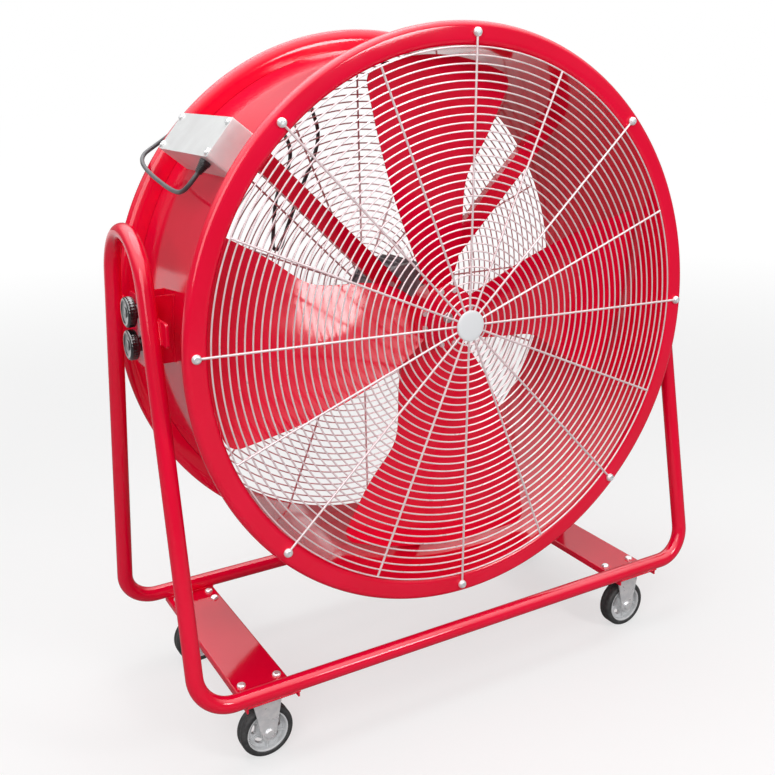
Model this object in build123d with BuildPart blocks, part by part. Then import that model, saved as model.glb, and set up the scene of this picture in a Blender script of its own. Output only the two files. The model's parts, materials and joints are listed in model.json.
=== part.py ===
"""Drum fan on a wheeled tube stand, in millimetres.

The fan stands on the floor (Z = 0), with +Z up and its grilles facing -Y (front) and +Y (rear).
The origin is on the floor, under the middle of the stand. The drum is drawn level, as it rests.
"""

from build123d import *
import os
from math import asin, atan, cos, hypot, pi, radians, sin, tan

# ---------------------------------------------------------------- driving dimensions

# Drum
RIM_R = 535.0            # outer radius of both rolled rims
RIM_WIDTH = 41.0         # radial width of a rim
RIM_DEPTH = 26.0         # axial depth of a rim
RIM_FLAT = 4.0           # flat band around a rim's outer edge, between its round corners
DRUM_DEPTH = 412.0       # front rim face to rear rim face
SHEET = 1.6              # drum sheet thickness
DRUM_RISE = 47.4         # lowest point of the level drum above the floor bars
LIP_GAP = 9.4            # from the drum wall out to the lip of a rolled rim

# Stand
TUBE_R = 15.0            # stand tube, outer radius
TUBE_WALL = 2.0          # stand tube wall
LEG_GAP = 8.0            # between a rim and a leg
BAR_Y = 223.5            # centre of the floor bars, front and rear of the middle
BAR_Z = 150.6            # height of the floor bars
ARCH_ABOVE = 195.9       # top of an arch above the fan axis, at the tube's centre
ARCH_R = 101.4           # centre radius of an arch
BEND_R = 65.0            # centre radius of the corner bends
SLEEVE_LENGTH = 120.0    # inner sleeves that join the two tubes
SLEEVE_WALL = 3.0
SLEEVE_FIT = 0.05        # radial clearance of a sleeve in its tube

# Base channels and casters
CASTER_INSET = 133.0     # wheel centre in from the leg
CHANNEL_DEPTH = 12.0
CHANNEL_SHEET = 3.0
CHANNEL_ROUND = 4.0      # its long upper edges
CHANNEL_OVERHANG = 6.0   # channel end beyond a bar's centre
COPE = 1.5               # depth that a bar sits into the piece welded to it
WHEEL_R = 50.0
TYRE_WIDTH = 30.0
TYRE_THICK = 11.0
TYRE_ROUND = 6.0
HUB_BOSS_R = 12.0
HUB_BOSS_LENGTH = 34.0
HUB_WEB = 8.0
HUB_RIM = 4.0            # radial thickness of the wheel centre's rim
HUB_STEP = 1.0           # how far that rim stops short of the tyre's side
WEB_HOLES = 5
WEB_HOLE_R = 5.0
WEB_HOLE_CIRCLE_R = 24.0
AXLE_R = 5.0
AXLE_HEAD = (3.5, 4.0, 2.0)     # beyond the axle's radius, length beyond the cheek, and edge round
RUNNING_FIT = 0.06       # radial clearance of a turning fit
FORK_SHEET = 3.0
FORK_PLATE = 4.0
FORK_PLATE_ROUND = 6.0
FORK_SHOULDER = 16.0     # straight stretch at the top of a fork cheek
FORK_EYE_R = 14.0
SIDE_PLAY = 0.5          # gap between a hub boss and a fork cheek
CASTER_BOLT_R = 4.0
CASTER_BOLT_GRID = (68.0, 34.0)
CASTER_BOLT_EDGE = (8.0, 12.0)  # from a bolt's centre to the edges of the fork's plate
CASTER_BOLT_PLAY = 0.2
CASTER_BOLT_TAIL = 9.0   # bolt end below the fork's plate
CASTER_NUT = 6.5         # thickness, and half the width across flats
NUT_GAP = 0.5            # between a nut and a fork cheek
PLATE_GAP = 5.0          # between the fork's plate and the channel's side
BOLT_HEAD = 5.0
BOLT_HEAD_R = 8.0
BOLT_HEAD_ROUND = 3.5    # dome of a bolt's head
BOLT_CLEARANCE = 3.5     # between a bolt's head and the floor bar

# Tilt hardware
TILT_LIMIT = 35.0        # degrees each way, set by the arc slot
KNOB_GAP = 4.0           # between the pivot knob and the locking knob above it
PIVOT_SHEET = 5.0
STRAP_HALF = 152.0       # half length of the pivot plate's cross strap
STRAP_LOW = 25.0         # strap edges above the tilt axis
STRAP_HIGH = 65.0
STRAP_ROUND = 6.0
PANEL_HALF = 60.0        # half width of the pivot plate's panel
PANEL_LOW = -40.0        # panel's lower edge above the tilt axis
PANEL_ABOVE = 27.0       # panel's upper edge above the locking stud
PANEL_ROUND = 14.0
STUD_R = 6.0
STUD_FLANGE = (3.0, 4.0)        # beyond the stud's radius, and thickness
SLOT_PLAY = 0.5          # radial clearance of the locking stud in the arc slot
BRACKET_HALF = 30.0
BRACKET_LOW = -34.0
BRACKET_ABOVE = 28.0     # bracket's upper end above the locking stud
BRACKET_SHEET = 4.0
BRACKET_ROUND = 4.0
BRACKET_REACH = 60.0     # bracket depth before it is cut to the drum wall
WASHER = 2.5             # thickness of the washer, with its sliding gap
WASHER_R = 18.0
WASHER_FIT = 0.1
FACE_GAP = 0.3           # between flat faces that slide past each other
KNOB_R = 27.0
KNOB_LENGTH = 24.0
KNOB_NECK_R = 13.0
KNOB_NECK = 7.0
KNOB_ROUND = 5.0
KNOB_CAP = 5.0           # solid end of a knob over its blind bore
KNOB_STUD_END = 1.0      # from the stud's end to the bottom of that bore

# Grilles
GRILLE_WIRE = 4.4        # thickness of a grille
RING_WIRE = 3.0
SPOKE_WIRE = 4.6
RING_GAP = 14.2          # from ring to ring, before it is evened out
RING_INNER_R = 22.9      # smallest ring
RING_CLEARANCE = 2.5     # largest ring in from the rim's inner edge
SPOKE_COUNT = 16
SCREW_OFFSET = 1.3       # screws outside the middle of the rim's width
SPOKE_TURN = -1.8        # degrees that the front spokes are turned from upright
LOOP_R = 8.0
SCREW_R = 3.0
SCREW_HEAD_R = 6.5
SCREW_HEAD = 4.0
SCREW_LENGTH = 12.0
BADGE_R = 29.0
BADGE_THICK = 4.0
BADGE_ROUND = 3.0

# Motor
MOTOR_BODY_R = 78.0
MOTOR_WALL = 5.0
FIN_HEIGHT = 7.0
MOTOR_FRONT_Y = 5.0      # face that the arms bolt to
BELL_DEPTH = 18.0
BELL_LIP = 3.0           # bell's edge outside the barrel between the fins
BELL_ROUND = 8.0
BELL_FACE = 5.0
BELL_SEAT_WALL = 5.0     # wall around a bearing
BELL_BORE_GAP = 2.0      # between the shaft and the front bell
HOUSING_LENGTH = 92.0
FIN_COUNT = 28
FIN_THICK = 3.0
STATOR_LENGTH = 60.0
ROTOR_R = 46.0
AIR_GAP = 1.0
SHAFT_R = 10.0
SHAFT_CHAMFER = 1.0
BEARING_R = 22.0
BEARING_WIDTH = 12.0
ARM_WIDTH = 38.0
ARM_HEIGHT = 15.0
ARM_SHEET = 3.0
ARM_START_R = 48.0
ARM_FOOT = 34.0
FOOT_BACK = 9.0          # arm's foot, in from the drum wall
FLANGE_GAP = 6.0         # from the fins to the start of an arm's flanges
ARM_BOLT_INSET = 14.0    # arm bolts in from the barrel's radius
ARM_BOLT_R = 4.0
ARM_BOLT_HEX = 7.5       # radius over the corners
ARM_BOLT_GRIP = 12.0     # bolt beyond the arm
FOOT_SCREW_EDGES = (10.0, 9.0)  # foot screws from the web and from the foot's rear edge
SMALL_HEX = 5.5          # nuts of the small screws, radius over the corners
SMALL_NUT = 4.0
SCREW_SEAT_GAP = 0.1     # under the heads and nuts on curved walls
HEAD_TAPER = 18.0

LEAD_R = 3.0             # sheathed lead from the junction box to the motor
LEAD_BACK = 9.0          # where it enters the barrel, behind the barrel's front edge
LEAD_OFF_MIDDLE = 1.0    # how far it lies behind the middle of the arm's channel
# Past the drum wall into the box, below the wall, above the fins, and into the barrel.
LEAD_ENDS = (6.0, 30.0, 20.0, 8.0)
# In from the drum wall, degrees off the arm and behind the middle of the arm's channel.
LEAD_POINTS = ((69.0, 1.2, 20.5), (114.0, 0.0, 0.0))
LEAD_LEAVES = 45.0       # from the fins out to where it leaves the arm
LEAD_BENDS = [22.0, 60.0, 60.0, 30.0, 9.0]
LEAD_DRILL = 40.0        # depth of the drills for the lead
WALL_DRILL = 16.0        # depth of the drills for the foot screws

# Impeller
BLADE_COUNT = 4
BLADE_TURN = 90.0        # place of the first blade, from +X towards +Z
TIP_CLEARANCE = 13.0     # from a blade's tip out to the rims' inner edge
BLADE_ROOT_IN = 20.0     # blade root inside the hub's edge
BLADE_ROOT_HALF = 30.0
BLADE_TIP_ROUND = 25.0
BLADE_SHEET = 2.4
BLADE_CAMBER = 0.045     # depth of a blade's arch, as a share of its chord
BLADE_Y = -110.0         # middle of the blades
HUB_R = 62.0
HUB_SPAN = (24.0, 26.0)  # hub in front of and behind the blades' middle
HUB_ROUND = 3.0
HUB_BOLT_PLACE = (11.0, 14.0)   # in from the hub's edge and off the blade's middle
SHAFT_TIP = 4.0          # shaft in front of the hub
BLADE_START_R = 34.0     # first station, inside the hub
BLADE_OVERRUN = 11.0     # last station beyond the tip, before trimming
# Distance out from the first station, chord before trimming and pitch in degrees. The distances
# and chords are those of a blade whose last station is 458 mm out, and stretch with the drum.
BLADE_STATIONS = ((0, 120, 36), (96, 210, 27), (206, 290, 20.5), (326, 370, 16.5), (458, 450, 13.5))
# Outline of a blade: distance out, stretched in the same way, and degrees from the blade's middle.
BLADE_TRAILING = ((166, 30), (306, 25))
BLADE_LEADING = ((166, -22), (236, -18.5), (306, -22), (366, -23.5))
BLADE_TIP_TURNS = (21, -24.5)   # ends of the tip, in degrees from the blade's middle

# Junction box and cord
BOX_ANGLE = 140.5        # place around the drum, from +X towards +Z
BOX_LENGTH = 250.0
BOX_WIDTH = 78.0
BOX_HEIGHT = 60.4
BOX_Y = -10.0            # middle of the box along the drum
BOX_WALL = 2.5
LID_THICK = 3.5
BOX_CORNER = 5.0
BOX_BOSS_R = 5.5
BOX_SCREW_INSET = 9.0
BOX_SEAT = 4.0           # how deep the box is drawn before it is cut to the drum wall
CAPACITOR = (30.0, 48.0, 18.0)
CAPACITOR_ROUND = 3.0
CAPACITOR_SHIFT = 20.0   # capacitor in front of the box's middle
LEAD_INSET = 55.0        # motor lead from the box's rear end
LEAD_TURN = 1.0          # degrees that it lies off the box's middle
GLAND_INSET = 37.0       # gland axis from the box's front end
GLAND_LIFT = 44.4        # gland axis above the drum wall
GLAND_THREAD_R = 8.0
GLAND_TAIL = 2.0         # gland thread inside the box wall
GLAND_NUT = (10.5, 6.0)  # radius and thickness
GLAND_RELIEF = (8.6, 18.0, 10.0)  # start radius, length and taper in degrees
CORD_R = 4.0
CORD_LEAVES = 20.0       # straight stretch out of the gland
COIL_CENTRE = (216.0, 223.0, 1040.0)
COIL_R = 42.0            # middle of the coil's turns
COIL_BUNDLE = (24.0, 17.0)  # across the turns and along the coil's axis
COIL_ROUND = 5.0
TIE_SHEET = 1.6
CLIP_SIZE = (12.0, 13.0)
CLIP_WALL = 2.0          # clip behind the cord
CLIP_ROUND = 2.0
CLIP_RUNS = (13, 15, 27, 30, 33)  # runs of the cord that a clip holds at their middle
PLUG_PLACE = (162.0, 226.0, 1028.0)  # top of the plug's neck, beside the coil
PLUG_LENGTH = 44.0
PLUG_SIZE = (27.0, 21.0)
PLUG_NECK = (0.6, 25.0, 2.0, -5.0)  # beyond the cord's radius, length, overlap and taper
PLUG_ROUND = (8.0, 3.0)  # corners and lower edge
PIN_R = 2.4
PIN_LENGTH = 19.0
PIN_SPACING = 18.6

BEND_SHARE = 0.45        # of the shorter run beside a corner of the cord, taken up by its bend

# Route of the cord behind its first bend: over the rear rim, down and up behind the rear
# grille in one hanging fold, and over to the coil.
CORD_POINTS = (
    (-478.0, -84.0, 1014.0),
    (-479.0, -55.0, 1009.0),
    (-477.0, -5.0, 1011.0),
    (-474.5, 48.0, 1017.0),
    (-471.5, 100.0, 1023.0),
    (-469.0, 148.0, 1031.0),
    (-465.0, 190.0, 1041.0),
    (-452.0, 224.0, 1053.0),
    (-425.0, 240.0, 1066.0),
    (-392.0, 236.0, 1088.0),
    (-355.0, 229.0, 1118.0),
    (-312.0, 225.0, 1146.0),
    (-262.0, 223.0, 1158.0),
    (-215.0, 222.0, 1140.0),
    (-182.0, 222.5, 1110.0),
    (-139.0, 223.0, 1042.0),
    (-186.0, 222.0, 960.0),
    (-193.0, 223.0, 905.0),
    (-197.0, 222.5, 870.0),
    (-199.0, 222.0, 847.0),
    (-181.0, 223.0, 845.0),
    (-169.0, 224.0, 877.0),
    (-151.0, 223.0, 919.0),
    (-124.0, 222.0, 979.0),
    (-79.0, 223.0, 1068.0),
    (-101.0, 224.0, 1135.0),
    (-112.0, 223.0, 1185.0),
    (-85.0, 222.0, 1228.0),
    (-30.0, 223.0, 1238.0),
    (35.0, 224.0, 1232.0),
    (92.0, 223.0, 1209.0),
    (135.0, 222.0, 1172.0),
    (159.0, 222.0, 1124.0),
    (166.5, 220.0, 1080.0),
    (166.0, 219.0, 1050.0),
)

# ---------------------------------------------------------------- derived places

HALF_DEPTH = DRUM_DEPTH / 2
RIM_INNER_R = RIM_R - RIM_WIDTH
WALL_INNER_R = RIM_INNER_R                       # the wall's sheet is rolled outwards into the rims
WALL_R = WALL_INNER_R + SHEET
RIM_MID_R = RIM_R - RIM_WIDTH / 2
RIM_MID_Y = HALF_DEPTH - RIM_DEPTH / 2
RIM_ROUND = (RIM_DEPTH - RIM_FLAT) / 2
AXIS_Z = BAR_Z + TUBE_R + DRUM_RISE + RIM_R      # height of the fan axis and of the tilt axis
BORE_R = TUBE_R - TUBE_WALL
BAR_BOTTOM = BAR_Z - TUBE_R
LEG_X = RIM_R + LEG_GAP + TUBE_R
LEG_INNER_X = LEG_X - TUBE_R
ARCH_TOP_Z = AXIS_Z + ARCH_ABOVE
CASTER_X = LEG_X - CASTER_INSET
CASTER_Y = BAR_Y - TUBE_R - BOLT_CLEARANCE - BOLT_HEAD_R - CASTER_BOLT_GRID[1] / 2
FORK_PLATE_X = CASTER_BOLT_GRID[0] + 2 * CASTER_BOLT_EDGE[0]
FORK_PLATE_Y = CASTER_BOLT_GRID[1] + 2 * CASTER_BOLT_EDGE[1]
FORK_TOP_WIDTH = CASTER_BOLT_GRID[0] - 2 * (CASTER_NUT + NUT_GAP)
CHANNEL_WIDTH = FORK_PLATE_X + 2 * (PLATE_GAP + CHANNEL_SHEET)
CHANNEL_TOP = BAR_BOTTOM + COPE
CHANNEL_UNDER = CHANNEL_TOP - CHANNEL_SHEET
CHEEK_IN = HUB_BOSS_LENGTH / 2 + SIDE_PLAY
CHEEK_OUT = CHEEK_IN + FORK_SHEET
FORK_UNDER = CHANNEL_UNDER - FORK_PLATE
LOCK_RADIUS = 2 * KNOB_R + KNOB_GAP              # from the tilt axis up to the locking stud
PANEL_HIGH = LOCK_RADIUS + PANEL_ABOVE
BRACKET_HIGH = LOCK_RADIUS + BRACKET_ABOVE
PIVOT_OUTER_X = LEG_INNER_X + COPE
PIVOT_INNER_X = PIVOT_OUTER_X - PIVOT_SHEET
BRACKET_X = PIVOT_INNER_X - WASHER
# Each leg leans so that it is tangent to the arch; drawn on, the legs meet at the apex.
ARCH_RISE = ARCH_TOP_Z - ARCH_R - BAR_Z
LEAN = atan(BAR_Y / ARCH_RISE) - asin(ARCH_R / hypot(BAR_Y, ARCH_RISE))
APEX_Z = BAR_Z + BAR_Y / tan(LEAN)
RING_OUTER_R = RIM_INNER_R - RING_CLEARANCE
RING_COUNT = 1 + round((RING_OUTER_R - RING_INNER_R) / RING_GAP)
RING_PITCH = (RING_OUTER_R - RING_INNER_R) / (RING_COUNT - 1)
SCREW_CIRCLE_R = RIM_MID_R + SCREW_OFFSET
MOTOR_R = MOTOR_BODY_R + FIN_HEIGHT
BELL_FRONT_Y = MOTOR_FRONT_Y + BELL_DEPTH
BELL_REAR_Y = BELL_FRONT_Y + HOUSING_LENGTH
STATOR_Y = BELL_FRONT_Y + (HOUSING_LENGTH - STATOR_LENGTH) / 2
FOOT_SCREW_YS = (MOTOR_FRONT_Y + FOOT_SCREW_EDGES[0], MOTOR_FRONT_Y + ARM_FOOT - FOOT_SCREW_EDGES[1])
ARM_ANGLES = (45, 135, 270)
ARM_BOLT_CIRCLE_R = MOTOR_BODY_R - ARM_BOLT_INSET
BLADE_TIP_R = RIM_INNER_R - TIP_CLEARANCE
BLADE_ROOT_R = HUB_R - BLADE_ROOT_IN
BLADE_STRETCH = (BLADE_TIP_R + BLADE_OVERRUN - BLADE_START_R) / BLADE_STATIONS[-1][0]
HUB_FRONT_Y = BLADE_Y - HUB_SPAN[0]
HUB_REAR_Y = BLADE_Y + HUB_SPAN[1]
SHAFT_TIP_Y = HUB_FRONT_Y - SHAFT_TIP
GLAND_Y = BOX_Y - BOX_LENGTH / 2 + GLAND_INSET
SIDES = {"left": -1, "right": 1}
CORNERS = {"front_left": (-1, -1), "front_right": (1, -1), "rear_left": (-1, 1), "rear_right": (1, 1)}


def save(builder, label):
    """Name a finished piece and write it to its own file."""
    builder.part.label = label
    export_step(builder.part, f"parts/{label}.step")


def polar(radius, angle, y):
    """Point at a radius and angle around the fan axis."""
    turn = radians(angle)
    return Vector(radius * cos(turn), y, AXIS_Z + radius * sin(turn))


def drum_plane(y, facing=-1):
    """Plane across the fan axis, with its normal to the front (-1) or the rear (1)."""
    return Plane(origin=(0, y, AXIS_Z), x_dir=(1, 0, 0), z_dir=(0, facing, 0))


def radial_plane(radius, angle, y):
    """Plane at a point of the drum: x along the circle, y along the axis, z outwards."""
    turn = radians(angle)
    outwards = (cos(turn), 0, sin(turn))
    around = (-sin(turn), 0, cos(turn))
    return Plane(origin=tuple(polar(radius, angle, y)), x_dir=around, z_dir=outwards)


# ---------------------------------------------------------------- stand


def frame_tube(side):
    """One bent tube: half of both floor bars, two legs and the arch between them."""
    x = side * LEG_X
    start = (0, -BAR_Y, BAR_Z)
    points = [start, (x, -BAR_Y, BAR_Z), (x, 0, APEX_Z), (x, BAR_Y, BAR_Z), (0, BAR_Y, BAR_Z)]
    with BuildPart() as tube:
        with BuildLine():
            FilletPolyline(*points, radius=[BEND_R, ARCH_R, BEND_R])
        with BuildSketch(Plane(origin=start, z_dir=(side, 0, 0))):
            Circle(TUBE_R)
            Circle(BORE_R, mode=Mode.SUBTRACT)
        sweep()
    return tube


def frame_sleeves():
    """Round sleeves inside the floor bars, where the two tubes meet."""
    with BuildPart() as sleeves:
        for y in (-BAR_Y, BAR_Y):
            with BuildSketch(Plane(origin=(0, y, BAR_Z), z_dir=(1, 0, 0))):
                Circle(BORE_R - SLEEVE_FIT)
                Circle(BORE_R - SLEEVE_WALL, mode=Mode.SUBTRACT)
            extrude(amount=SLEEVE_LENGTH / 2, both=True)
    return sleeves


def caster_bolt_places(side, ends=(-1, 1)):
    """Places of the bolts through a channel, four over each caster."""
    places = []
    for end in ends:
        for i in (-1, 1):
            for j in (-1, 1):
                bolt_x = side * CASTER_X + i * CASTER_BOLT_GRID[0] / 2
                places.append((bolt_x, end * CASTER_Y + j * CASTER_BOLT_GRID[1] / 2))
    return places


def base_channel(side):
    """Channel under both floor bars, open downwards, that carries two casters."""
    x = side * CASTER_X
    with BuildPart() as channel:
        with BuildSketch(Plane.XZ):
            with Locations((x, CHANNEL_TOP - CHANNEL_DEPTH / 2)):
                Rectangle(CHANNEL_WIDTH, CHANNEL_DEPTH)
        extrude(amount=BAR_Y + CHANNEL_OVERHANG, both=True)
        fillet(channel.edges().filter_by(Axis.Y).group_by(Axis.Z)[-1], CHANNEL_ROUND)
        with BuildSketch(Plane.XZ):
            with Locations((x, CHANNEL_UNDER - CHANNEL_DEPTH / 2)):
                Rectangle(CHANNEL_WIDTH - 2 * CHANNEL_SHEET, CHANNEL_DEPTH)
        extrude(amount=BAR_Y + CHANNEL_OVERHANG, both=True, mode=Mode.SUBTRACT)
        for y in (-BAR_Y, BAR_Y):
            with BuildSketch(Plane(origin=(x, y, BAR_Z), z_dir=(1, 0, 0))):
                Circle(TUBE_R)
            extrude(amount=CHANNEL_WIDTH, both=True, mode=Mode.SUBTRACT)
        with BuildSketch(Plane.XY.offset(CHANNEL_TOP)):
            with Locations(*caster_bolt_places(side)):
                Circle(CASTER_BOLT_R + CASTER_BOLT_PLAY)
        extrude(amount=-CHANNEL_SHEET * 2, mode=Mode.SUBTRACT)
    return channel


def caster_fork(side, end):
    """Pressed fork: a bolted top plate and two cheeks that hold the axle."""
    x, y = side * CASTER_X, end * CASTER_Y
    with BuildPart() as fork:
        with BuildSketch(Plane.XY.offset(FORK_UNDER)):
            with Locations((x, y)):
                RectangleRounded(FORK_PLATE_X, FORK_PLATE_Y, FORK_PLATE_ROUND)
        extrude(amount=FORK_PLATE)
        for way in (-1, 1):
            cheek = Plane(origin=(x, y + way * CHEEK_OUT, WHEEL_R), x_dir=(1, 0, 0), z_dir=(0, -1, 0))
            with BuildSketch(cheek):
                with BuildLine():
                    half = FORK_TOP_WIDTH / 2
                    rise = FORK_UNDER - WHEEL_R
                    shoulder = rise - FORK_SHOULDER
                    Polyline((-FORK_EYE_R, 0), (-half, shoulder), (-half, rise), (half, rise),
                             (half, shoulder), (FORK_EYE_R, 0))
                    ThreePointArc((FORK_EYE_R, 0), (0, -FORK_EYE_R), (-FORK_EYE_R, 0))
                make_face()
                Circle(AXLE_R, mode=Mode.SUBTRACT)
            extrude(amount=way * FORK_SHEET)
        with BuildSketch(Plane.XY.offset(FORK_UNDER)):
            with Locations(*caster_bolt_places(side, (end,))):
                Circle(CASTER_BOLT_R + CASTER_BOLT_PLAY)
        extrude(amount=FORK_PLATE, mode=Mode.SUBTRACT)
    return fork


def caster_axles():
    """Riveted axles, one through each fork and wheel."""
    head_step, head_length, head_round = AXLE_HEAD
    with BuildPart() as axles:
        for side, end in CORNERS.values():
            plane = Plane(origin=(side * CASTER_X, end * CASTER_Y, WHEEL_R), z_dir=(0, -1, 0))
            with BuildSketch(plane):
                Circle(AXLE_R)
            extrude(amount=CHEEK_OUT + head_length / 2, both=True)
            for way in (-1, 1):
                with BuildSketch(plane.offset(way * CHEEK_OUT)):
                    Circle(AXLE_R + head_step)
                extrude(amount=way * head_length)
        edges = axles.edges().filter_by(GeomType.CIRCLE)
        rims = edges.filter_by(lambda e: e.radius > AXLE_R + head_step / 2)
        outer = rims.filter_by(lambda e: abs(abs(e.center().Y) - CASTER_Y) > CHEEK_OUT + head_length / 2)
        fillet(outer, head_round)
    return axles


def caster_bolts():
    """Dome-headed bolts that hold the casters under the channels, with their nuts."""
    places = caster_bolt_places(-1) + caster_bolt_places(1)
    with BuildPart() as bolts:
        with BuildSketch(Plane.XY.offset(FORK_UNDER - CASTER_BOLT_TAIL)):
            with Locations(*places):
                Circle(CASTER_BOLT_R)
        extrude(amount=CASTER_BOLT_TAIL + CHANNEL_TOP - FORK_UNDER + BOLT_HEAD / 2)
        with BuildSketch(Plane.XY.offset(CHANNEL_TOP)):
            with Locations(*places):
                Circle(BOLT_HEAD_R)
        extrude(amount=BOLT_HEAD)
        fillet(bolts.edges().filter_by(GeomType.CIRCLE).group_by(Axis.Z)[-1], BOLT_HEAD_ROUND)
        with BuildSketch(Plane.XY.offset(FORK_UNDER)):
            with Locations(*places):
                RegularPolygon(CASTER_NUT, 6, major_radius=False, rotation=30)
        extrude(amount=-CASTER_NUT)
    return bolts


def leg_plane(side, end):
    """Plane across a leg at its foot, with its normal up the leg."""
    foot = Vector(side * LEG_X, end * BAR_Y, BAR_Z)
    way = Vector(0, -end * sin(LEAN), cos(LEAN))
    return Plane(origin=foot, x_dir=(1, 0, 0), z_dir=way)


def pivot_plate(side):
    """Plate across an arch, with the tilt bore and the arc slot of the locking stud."""
    plane = Plane(origin=(side * PIVOT_INNER_X, 0, AXIS_Z), x_dir=(0, 1, 0), z_dir=(1, 0, 0))
    slot_path = CenterArc((0, 0), LOCK_RADIUS, 90 - TILT_LIMIT, 2 * TILT_LIMIT)
    with BuildPart() as plate:
        with BuildSketch(plane):
            with Locations((0, (STRAP_LOW + STRAP_HIGH) / 2)):
                RectangleRounded(2 * STRAP_HALF, STRAP_HIGH - STRAP_LOW, STRAP_ROUND)
            with Locations((0, (PANEL_HIGH + PANEL_LOW) / 2)):
                RectangleRounded(2 * PANEL_HALF, PANEL_HIGH - PANEL_LOW, PANEL_ROUND)
            Circle(STUD_R + RUNNING_FIT, mode=Mode.SUBTRACT)
            SlotArc(slot_path, 2 * (STUD_R + SLOT_PLAY), mode=Mode.SUBTRACT)
        extrude(amount=side * PIVOT_SHEET)
        for end in (-1, 1):
            with BuildSketch(leg_plane(side, end)):
                Circle(TUBE_R)
            extrude(amount=ARCH_TOP_Z - BAR_Z, mode=Mode.SUBTRACT)
    return plate


# ---------------------------------------------------------------- wheels


def wheel_tyre(side, end):
    """Solid rubber tyre."""
    plane = Plane(origin=(side * CASTER_X, end * CASTER_Y, WHEEL_R), z_dir=(0, -1, 0))
    with BuildPart() as tyre:
        with BuildSketch(plane):
            Circle(WHEEL_R)
        extrude(amount=TYRE_WIDTH / 2, both=True)
        fillet(tyre.edges().filter_by(GeomType.CIRCLE), TYRE_ROUND)
        with BuildSketch(plane):
            Circle(WHEEL_R - TYRE_THICK)
        extrude(amount=TYRE_WIDTH, both=True, mode=Mode.SUBTRACT)
    return tyre


def wheel_hub(side, end):
    """Moulded wheel centre: rim, web with a ring of holes, and a boss bored for the axle."""
    plane = Plane(origin=(side * CASTER_X, end * CASTER_Y, WHEEL_R), z_dir=(0, -1, 0))
    rim_r = WHEEL_R - TYRE_THICK
    with BuildPart() as hub:
        with BuildSketch(plane):
            Circle(rim_r)
            Circle(rim_r - HUB_RIM, mode=Mode.SUBTRACT)
        extrude(amount=TYRE_WIDTH / 2 - HUB_STEP, both=True)
        with BuildSketch(plane):
            Circle(rim_r - HUB_RIM / 2)
        extrude(amount=HUB_WEB / 2, both=True)
        with BuildSketch(plane):
            Circle(HUB_BOSS_R)
        extrude(amount=HUB_BOSS_LENGTH / 2, both=True)
        with BuildSketch(plane):
            Circle(AXLE_R + RUNNING_FIT)
            with PolarLocations(WEB_HOLE_CIRCLE_R, WEB_HOLES):
                Circle(WEB_HOLE_R)
        extrude(amount=HUB_BOSS_LENGTH, both=True, mode=Mode.SUBTRACT)
    return hub


# ---------------------------------------------------------------- drum


def drum_shell():
    """Sheet drum, rolled outwards into a hollow rim at each end that stays open behind its lip."""
    lip_y = HALF_DEPTH - RIM_DEPTH
    mouth = SHEET + LIP_GAP
    with BuildPart() as shell:
        with BuildSketch(Plane.XY.offset(AXIS_Z)):
            with Locations((RIM_MID_R, -RIM_MID_Y), (RIM_MID_R, RIM_MID_Y)):
                RectangleRounded(RIM_WIDTH, RIM_DEPTH, RIM_ROUND)
                RectangleRounded(RIM_WIDTH - 2 * SHEET, RIM_DEPTH - 2 * SHEET, RIM_ROUND - SHEET,
                                 mode=Mode.SUBTRACT)
            with Locations((WALL_INNER_R + mouth / 2, -lip_y), (WALL_INNER_R + mouth / 2, lip_y)):
                Rectangle(mouth, 2 * RIM_ROUND, mode=Mode.SUBTRACT)
            with Locations((WALL_R - SHEET / 2, 0)):
                Rectangle(SHEET, 2 * RIM_MID_Y)
        revolve(axis=Axis((0, 0, AXIS_Z), (0, 1, 0)))
        for facing in (-1, 1):
            with BuildSketch(drum_plane(facing * HALF_DEPTH, facing)):
                with PolarLocations(SCREW_CIRCLE_R, SPOKE_COUNT // 2, start_angle=spoke_turn(facing)):
                    Circle(SCREW_R)
            extrude(amount=2 * SHEET, both=True, mode=Mode.SUBTRACT)
        for angle in ARM_ANGLES:
            for y in FOOT_SCREW_YS:
                with BuildSketch(radial_plane(WALL_R, angle, y)):
                    Circle(SCREW_R)
                extrude(amount=WALL_DRILL, both=True, mode=Mode.SUBTRACT)
        with BuildSketch(lead_entry()):
            Circle(LEAD_R)
        extrude(amount=LEAD_DRILL, both=True, mode=Mode.SUBTRACT)
    return shell


def spoke_turn(facing):
    """Turn of a grille's first spoke, measured on the plane that faces that way."""
    return 90 + SPOKE_TURN if facing < 0 else 90


def grille(facing):
    """Wire guard: rings on spokes, every second spoke reaching the rim with an eye."""
    turn = spoke_turn(facing)
    half_count = SPOKE_COUNT // 2
    with BuildPart() as guard:
        with BuildSketch(drum_plane(facing * HALF_DEPTH, facing)):
            for k in range(RING_COUNT):
                ring_r = RING_OUTER_R - RING_PITCH * k
                Circle(ring_r + RING_WIRE / 2)
                Circle(ring_r - RING_WIRE / 2, mode=Mode.SUBTRACT)
            for reach, first in ((SCREW_CIRCLE_R, turn), (RING_OUTER_R, turn + 180 / half_count)):
                with PolarLocations((reach + RING_INNER_R) / 2, half_count, start_angle=first):
                    Rectangle(reach - RING_INNER_R, SPOKE_WIRE)
            with PolarLocations(SCREW_CIRCLE_R, half_count, start_angle=turn):
                Circle(LOOP_R)
                Circle(SCREW_R, mode=Mode.SUBTRACT)
        extrude(amount=GRILLE_WIRE)
    return guard


def grille_badge():
    """Plain round cap over the middle of the front grille."""
    face = drum_plane(-HALF_DEPTH - GRILLE_WIRE)
    with BuildPart() as badge:
        with BuildSketch(face):
            Circle(BADGE_R)
        extrude(amount=BADGE_THICK)
        fillet(badge.edges().filter_by(GeomType.CIRCLE).group_by(Axis.Y)[0], BADGE_ROUND)
        with BuildSketch(face):
            Circle(RING_INNER_R - RING_WIRE / 2)
        extrude(amount=-GRILLE_WIRE)
    return badge


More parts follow.
